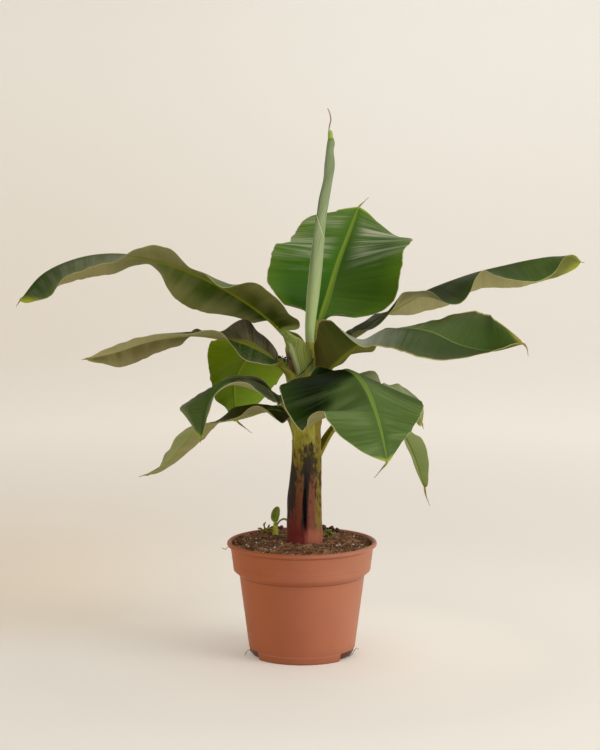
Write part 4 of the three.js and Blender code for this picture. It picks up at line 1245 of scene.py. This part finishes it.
potShades = {
    # stops across the front, from the left side to the right, lighter and paler to the right as painted
    # light
    "across": [
        (0.05, (172, 84, 26)), (0.3, (160, 83, 40)), (0.5, (160, 88, 58)), (0.72, (168, 99, 69)),
        (0.95, (180, 114, 84)),
    ],
    # height in metres, half width and share of each dark line of painted shade round the pot: under the
    # collar's edge, under the lip, a faint one on the collar, and round the foot
    "lines": [
        (0.1136, 0.0010, 0.8), (0.1534, 0.0010, 0.5), (0.1293, 0.0005, 0.25), (0.0005, 0.0016, 0.5),
    ],
    "line": (104, 42, 16), "scuff": (205, 146, 116), "edge": (205, 140, 104), "dirt": (128, 70, 46),
    # slot and inner are painted shade: inside the slots, and on the inner wall just below the rim
    "slot": (26, 14, 8), "inner": (84, 34, 16),
}


# Pot finish: satin plastic with faint cloudiness and scuffs, coloured lighter and paler to the
# right as painted light, with painted shade inside its slots and on the inner wall below the rim,
# and dark lines of painted shade under the lip, under the collar's edge and round the foot.
def potSkin():
    paint = Paint("potSkin")
    place = paint.place()
    x, y, z = paint.parts(place)
    hole, inner = paint.mark("hole"), paint.mark("inner")
    grain = paint.noise(place, 900.0)
    cloud = paint.noise(paint.vector(x * 14, y * 14, z * 9), detail=3.0)
    scuff = paint.noise(paint.vector(x * 60, y * 60, z * 420), detail=3.0, rough=0.6)
    rings = paint.noise(paint.vector(z * 900, 0.5, 0.5), detail=1.0)
    outside = inner.step(0.6, 0.3)
    facing = (x.size() * -12 - y * 4 + 1.1).step(0.0, 0.7) * 0.8 + 0.2  # lines fade towards the sides
    # painted light: the colour across the front grows lighter and paler to the right
    colour = paint.scale(paint.ramp(x * 5 + 0.5, potShades["across"]), 0.93 + cloud.step(0.3, 0.7) * 0.12)
    lines = []
    # dark lines of painted shade round the pot
    for height, half, share in potShades["lines"]:
        line = (z - height).size().step(half, half * 0.3) * outside * facing
        lines.append((line * share, potShades["line"]))
    colour = paint.layers(
        colour, (scuff.step(0.6, 0.8) * 0.2, potShades["scuff"]), *lines,
        ((z - 0.0105).size().step(0.0012, 0.0003) * outside * 0.3, potShades["edge"]),
        ((z - cloud * 0.02).step(0.012, 0.0) * 0.2, potShades["dirt"]),
        # painted shade: dark inside the slots, and on the inner wall just below the rim
        (hole.step(0.3, 0.8), potShades["slot"]),
        (inner.step(0.4, 0.7) * z.step(0.1605, 0.157) * 0.85, potShades["inner"]))
    paint.relief(grain * 0.35 + rings * 0.5 + cloud * 0.4, 0.0004, 0.5)
    return paint.finish(Base_Color=colour, Roughness=0.46 + scuff * 0.12)


def soilSkin():
    paint = Paint("soilSkin")
    place = paint.place()
    x, y, z = paint.parts(place)
    clod = paint.noise(place, 120.0, 5.0, 0.68)
    grain = paint.noise(place, 520.0, 3.0, 0.6)
    fibre = paint.noise(paint.vector(x * 520 + clod * 6, y * 110, z * 220))
    colour = paint.layers(
        tint(48, 26, 14), (clod.step(0.38, 0.6), (150, 96, 60)),
        (fibre.step(0.56, 0.68) * 0.65, (186, 142, 100)), (grain.step(0.6, 0.68) * 0.8, (206, 176, 140)),
        (grain.step(0.42, 0.32) * 0.8, (20, 12, 7)))
    paint.relief(clod * 0.6 + grain * 0.4, 0.003, 1.0)
    return paint.finish(Base_Color=colour, Roughness=0.92 - grain * 0.1, Specular_IOR_Level=0.2)


# Finish of small bits: one fine grain between a dark and a light colour.
def bitSkin(name, dark, light, scale):
    paint = Paint(name)
    grain = paint.noise(paint.place(), scale, 3.0, 0.6)
    paint.relief(grain, 0.0006, 0.7)
    colour = paint.blend(grain.step(0.35, 0.65), tint(*dark), tint(*light))
    return paint.finish(Base_Color=colour, Roughness=0.75 + grain * 0.15)


def dress(piece, material, slot, *nodes):
    piece.data.materials.append(material)
    if nodes:
        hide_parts(*nodes)


# A set of lumps or tubes as one piece, with the finish of small bits.
def bitPiece(name, parts, slot, skin, *nodes):
    vertices, quads, caps = parts
    dress(meshPiece(name, vertices, [quads, caps]), bitSkin(*skin), slot, *nodes)


# Leaves, each in place of its node or of its stalk and tip, with its sheath. The thread at each
# tip starts inside the blade, at the share of the spine given as start.
threadShape = {"start": 0.985, "radii": [0.7, 1.5, 1.5, 0.9, 0.55, 0.4, 0.3], "rows": 26, "columns": 8}
share = np.linspace(0, 1, threadShape["rows"])
threads = []
for number, spec in enumerate(leaves):
    name = spec["name"]
    piece = loftPiece(name + "_blade", *leafGrid(spec, 31 + 7 * number))
    nodes = [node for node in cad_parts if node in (name, name + "_stalk", name + "_tip")]
    dress(piece, leafSkin(name + "_skin", {**leafBase, **leafLooks[name]}), "leaf", *nodes)
    look = {**sheathBase, **sheathLooks[name]}
    piece = loftPiece(name + "_sheath", *sheathGrid(spec, look))
    dress(piece, sheathSkin(name + "_sheathSkin", look), "trunk")
    spine = np.array(spec["spine"], float)
    back = throughPoints(spine, np.array([threadShape["start"]]))[0]
    threads.append(throughPoints(np.vstack([back, spine[-1:], spec["tail"]]), share)[0])
radii = np.tile(along(threadShape["radii"], share), (len(threads), 1))
vertices, quads, caps = tubeSet(threads, radii, threadShape["columns"])
run = np.tile(np.repeat(share, threadShape["columns"]), len(threads))
dress(meshPiece("leaf_threads", vertices, [quads, caps], {"grown": run}), threadSkin(), "leaf")
print("leaves made:", len(leaves))

dress(loftPiece("trunk_skin", trunkGrid()), stemSkin(), "trunk", "trunk")
dress(loftPiece("rolled_leaf_skin", *spearGrid()), spearSkin(), "rolled_leaf", "rolled_leaf")
print("trunk and rolled leaf made")

dress(loftPiece("pot_skin", *potGrid()), potSkin(), "pot", "pot")
dress(loftPiece("soil_skin", soilGrid()), soilSkin(), "soil", "soil")

# Crumbs and pale grains all over the soil, and clods by the wall in two sectors at the back.
soilLumps = {
    "soil_crumbs": {
        "count": 1300, "rise": 0, "sizes": (0.7, 2.7), "seed": 18,
        "skin": ("crumbSkin", (54, 32, 20), (148, 102, 68), 420.0),
    },
    "soil_grains": {
        "count": 38, "rise": 0.8, "sizes": (0.7, 2.1), "seed": 19,
        "skin": ("grainSkin", (206, 198, 184), (238, 234, 226), 900.0),
    },
}
clods = {
    "sectors": [(0.95, 1.3, 26), (1.9, 2.2, 16)],  # first and last angle, and how many
    "radius": 90, "level": 160, "rise": 5, "sizes": (1.6, 4.2), "seed": 20,
    "skin": ("clodSkin", (58, 36, 26), (104, 66, 46), 500.0),
}
rng = np.random.default_rng(17)
for name, spec in soilLumps.items():
    places = soilPlaces(spec["count"], rng)
    sizes = rng.uniform(*spec["sizes"], len(places))
    bitPiece(name, lumpSet(places + [0, 0, spec["rise"]], sizes, spec["seed"]), "soil", spec["skin"])
a = np.concatenate([rng.uniform(*sector) for sector in clods["sectors"]])
z = clods["level"] + rng.uniform(0, clods["rise"], len(a))
places = np.stack([clods["radius"] * np.cos(a), clods["radius"] * np.sin(a), z], -1)
sizes = rng.uniform(*clods["sizes"], len(places))
bitPiece("soil_clods", lumpSet(places, sizes, clods["seed"]), "soil", clods["skin"])

# Fibres: short bent strands lying on the soil.
fibres = {
    "count": 900, "inner": 28, "outer": 93, "edge": 95, "lengths": (4, 16), "bend": 1.6,
    "arch": (0.3, 2.2), "radii": (0.2, 0.55), "rows": 7,
    "skin": ("fibreSkin", (92, 62, 42), (188, 150, 112), 60.0),
}
count = fibres["count"]
starts = soilPlaces(count, rng, fibres["inner"], fibres["outer"])
heading = rng.uniform(0, 2 * math.pi, count)
lengths = rng.uniform(*fibres["lengths"], count)
bend = rng.uniform(-fibres["bend"], fibres["bend"], count)
t = np.linspace(0, 1, fibres["rows"])
direction = heading[:, None] + bend[:, None] * t
x = starts[:, :1] + np.cumsum(np.cos(direction), 1) * lengths[:, None] / fibres["rows"]
y = starts[:, 1:2] + np.cumsum(np.sin(direction), 1) * lengths[:, None] / fibres["rows"]
inside = np.minimum(1, fibres["edge"] / np.maximum(np.hypot(x, y), 1e-6))
x, y = x * inside, y * inside
arch = rng.uniform(*fibres["arch"], count)[:, None] * np.sin(t * math.pi)
paths = np.stack([x, y, soilHeight(x, y) + 0.2 + arch], -1)
bitPiece("soil_fibres", tubeSet(paths, rng.uniform(*fibres["radii"], (count, 1)), 4), "soil", fibres["skin"])
print("pot and soil made")

# Root hairs at the slots and over the rim, dry bits of leaf by the left shoot, and a torn brown
# seam where the crown's sheaths meet.
strands = {
    "root_hairs": {"radius": 0.5, "tones": ((84, 70, 52), (150, 134, 108)), "paths": [
        [[63, -37, 4], [69, -27, 3], [74, -15, 6], [77, -9, 8], [80, -8, 6]],
        [[-68, -24, 8], [-73, -21, 9], [-77, -23, 6], [-78, -27, 2]],
        [[-98, -8, 155], [-104, -6, 152], [-107, -5, 149], [-112, -5, 151]],
    ]},
    "dry_bits": {"radius": 1.3, "tones": ((96, 70, 26), (176, 146, 52)), "paths": [
        [[-52, 68, 160], [-53, 68, 166], [-54, 67, 171], [-52, 66, 175]],
        [[-50, 69, 160], [-49, 69, 166], [-47, 68, 170], [-46, 67, 172]],
        [[-56, 66, 160], [-57, 66, 164], [-60, 65, 166], [-63, 64, 165]],
        [[-45, 70, 160], [-44, 70, 165], [-42, 69, 168], [-39, 68, 167]],
    ]},
    "sheath_seam": {"radius": 0.75, "tones": ((40, 24, 10), (84, 58, 24)), "paths": [
        [[16, -16.5, 419], [13, -18, 414], [8, -20, 409], [3, -21, 403], [-3, -21, 398], [-6, -20.6, 396]],
    ]},
}
share = np.linspace(0, 1, 40)
for name, spec in strands.items():
    paths = np.array([throughPoints(path, share)[0] for path in spec["paths"]])
    paths = paths + 0.5 * rng.uniform(-1, 1, paths.shape).cumsum(1) * 0.3
    radii = spec["radius"] * along([1, 1.2, 0.8, 1, 0.5], share) * rng.uniform(0.7, 1.3, paths.shape[:2])
    bitPiece(name, tubeSet(paths, radii, 8), "trunk", (name + "_skin", *spec["tones"], 300.0))
torn = {
    "places": [[-29, -34, 423], [-26, -33, 420], [-23, -32, 421], [-20, -30, 418], [-18, -27, 421],
               [-24, -31, 417]],
    "count": 22, "spread": 1.3, "sizes": (0.8, 2.2), "seed": 41,
    "skin": ("tornSkin", (28, 18, 8), (74, 52, 26), 400.0),
}
count = torn["count"]
places = np.array(torn["places"])[rng.integers(0, len(torn["places"]), count)]
places = places + rng.normal(0, torn["spread"], (count, 3))
sizes = rng.uniform(*torn["sizes"], count)
bitPiece("torn_bits", lumpSet(places, sizes, torn["seed"]), "trunk", torn["skin"])

# Side shoots: a stem with small folded leaves, worked out as the big ones are.
sprouts = {
    "sprout_left": {
        "stem": [[-37, 56, 150], [-38, 57, 163], [-38, 58, 177]], "radius": 4.2,
        # each leaf's spine, reach and fold
        "leaves": [
            ([[-38, 59, 172], [-38, 61, 182], [-37, 60, 191], [-36, 56, 199]], 7.6, 10),
            ([[-38, 57, 168], [-32, 57, 178], [-26, 55, 181], [-18, 53, 178]], 5, 15),
            ([[-38, 57, 160], [-43, 56, 166], [-48, 55, 168], [-53, 55, 165]], 3.2, 30),
        ],
    },
    "sprout_right": {
        "stem": [[38, 48, 150], [38, 48, 158], [38, 48, 163]], "radius": 2.4,
        "leaves": [
            ([[38, 48, 158], [38, 46, 164], [37, 42, 168], [36, 37, 168]], 4.8, 20),
            ([[38, 48, 157], [41, 45, 162], [44, 40, 164], [46, 35, 163]], 4.4, 25),
            ([[38, 48, 156], [34, 45, 160], [31, 41, 162], [29, 37, 160]], 3.8, 25),
        ],
    },
}
shootLook = {
    **leafBase, "topLeft": [(0, (66, 106, 14))], "topRight": [(0, (90, 134, 24))], "stalk": (170, 176, 40),
    "edge": (118, 146, 36), "underLeft": [(0, (106, 126, 36))], "underRight": [(0, (106, 126, 36))],
    "sheenShare": (0.1, 0.1), "tip": (150, 150, 60),
}
shootSkin = leafSkin("shootSkin", shootLook)
share = np.linspace(0, 1, 20)
for name, sprout in sprouts.items():
    vertices, faces, marks, uvs, count = [], [], {}, [], 0
    for spine, reach, fold in sprout["leaves"]:
        hand = {"reach": [reach], "fold": [fold]}
        spec = {"spine": spine, "stalk": 0.12, "foot": 1.6, "neck": 0.9, "left": hand, "right": hand}
        points, mark, uv = leafGrid(spec, 5)
        ring, caps = ringCaps(points)
        vertices.append(ring)
        faces.append((gridQuads(*points.shape[:2]) + count, caps + count))
        # the two vertices at the ends take the values of the first and last grid point
        for key, value in mark.items():
            flat = np.asarray(value).ravel()
            marks.setdefault(key, []).append(np.concatenate([flat, flat[:1], flat[-1:]]))
        flat = uv.reshape(-1, 2)
        uvs.append(np.vstack([flat, flat[:1], flat[-1:]]))
        count += len(ring)
    marks = {key: np.concatenate(value) for key, value in marks.items()}
    faces = [np.vstack(kind) for kind in zip(*faces)]
    piece = meshPiece(name + "_leaves", np.vstack(vertices), faces, marks, np.vstack(uvs))
    dress(piece, shootSkin, "sprout", name)
    radius = sprout["radius"] * along([1.15, 1, 0.85, 0.5], share)
    stem = tubeSet(throughPoints(sprout["stem"], share)[0][None], radius[None], 20)
    bitPiece(name + "_stem", stem, "sprout", (name + "_skin", (150, 160, 28), (196, 192, 62), 220.0), name)
print("side shoots made")

# Stage: a wide pale dish that rises far out, so that floor and background have no line.
stage = {
    "flat": [400, 1500, 3000], "floor": 4200.0, "bend": 2000.0, "top": 3400.0, "columns": 128,
    # shadowTone is the colour of a painted shadow on the floor
    "low": (232, 226, 217), "high": (240, 238, 232), "shadowTone": (232, 208, 176),
}
columns, bend = stage["columns"], stage["bend"]
around = np.arange(columns) / columns * 2 * math.pi
bowl = np.linspace(0, 0.5 * math.pi, 24)
r = np.concatenate([stage["flat"], stage["floor"] + bend * np.sin(bowl), [stage["floor"] + bend]])
z = np.concatenate([[0, 0, 0], bend * (1 - np.cos(bowl)), [stage["top"]]])
r, z = r[:, None], z[:, None]
rings = np.stack([r * np.cos(around), r * np.sin(around), z + 0 * around], -1)
spot = np.arange(columns)
fan = np.stack([np.full(columns, rings.size // 3), (spot + 1) % columns, spot], -1)
vertices = np.vstack([rings.reshape(-1, 3), np.zeros((1, 3))])
floor = meshPiece("floor", vertices, [gridQuads(len(rings), columns), fan], body=None)

# Floor finish: cream with a painted warm shadow at the back on the left, and a glow of its own
# that is painted light: stronger round the pot, where it lifts the pot's shadow, brighter to the
# right, and fading in the distance.
paint = Paint("floorSkin")
x, y, z = paint.parts(paint.place())
# painted shadow: a warm shade on the floor to the left of the pot and behind it
warmShadow = x.step(0.0, -0.4) * y.step(-0.1, 0.3) * y.step(1.6, 0.4) * 0.4
warmShadow = warmShadow + x.step(0.5, -1.0) * y.step(0.2, 1.0) * 0.12
cream = paint.layers(tint(*stage["low"]), (z.step(0.0, 1.2), stage["high"]), (warmShadow, stage["shadowTone"]))
spread = x * x + y * y
# painted light: more glow round the pot, most on its right, lifts the pot's shadow, and the glow grows
# towards the right
near = spread.step(0.9, 0.01) * 0.06 + spread.step(0.16, 0.006) * (0.08 + x.step(-0.05, 0.2) * 0.06)
light = spread.step(0.4, 6.0) * 0.2 + near - 0.03 + x.step(-2.0, 1.2) * 0.1 - z.step(0.4, 2.0) * 0.06
glow = paint.scale(cream, light)
cloth = paint.finish(Base_Color=cream, Roughness=0.9, Specular_IOR_Level=0.1, Emission_Color=glow,
                     Emission_Strength=1.0)
floor.data.materials.append(cloth)

world = bpy.data.worlds.new("studio")
world.use_nodes = True
sky = world.node_tree.nodes["Background"].inputs
sky["Color"].default_value = (1.0, 0.985, 0.955, 1)
sky["Strength"].default_value = 0.58
bpy.context.scene.world = world


def softLight(name, place, aim, size, power, colour):
    lamp = bpy.data.lights.new(name, "AREA")
    lamp.shape = "SQUARE"
    lamp.size = size
    lamp.energy = power
    lamp.color = colour
    made = bpy.data.objects.new(name, lamp)
    place, aim = Vector(place), Vector(aim)
    made.location = place
    made.rotation_euler = (aim - place).to_track_quat("-Z", "Y").to_euler()
    bpy.context.scene.collection.objects.link(made)


softLight("keyLight", (2.8, -1.7, 1.9), (0, 0, 0.3), 2.2, 58, (1.0, 0.99, 0.97))
softLight("fillLight", (-1.6, -3.4, 1.9), (0, 0, 0.3), 2.4, 11, (1.0, 0.99, 0.97))
softLight("topLight", (0.3, 0.9, 3.0), (0, 0, 0.3), 2.0, 14, (1.0, 0.99, 0.97))

# Camera: 3.03 m in front of the pot and 0.75 m up, tilted down by 6.7 degrees.
camera = {"place": (-0.0028, -3.035, 0.751), "tilt": 6.7, "lens": 105.6}
eye = bpy.data.cameras.new("camera")
eye.lens = camera["lens"]
eye.clip_end = 60
eyeObject = bpy.data.objects.new("camera", eye)
eyeObject.location = camera["place"]
eyeObject.rotation_euler = (math.radians(90 - camera["tilt"]), 0, 0)
bpy.context.scene.collection.objects.link(eyeObject)
bpy.context.scene.camera = eyeObject
bpy.context.scene.view_settings.view_transform = "Standard"
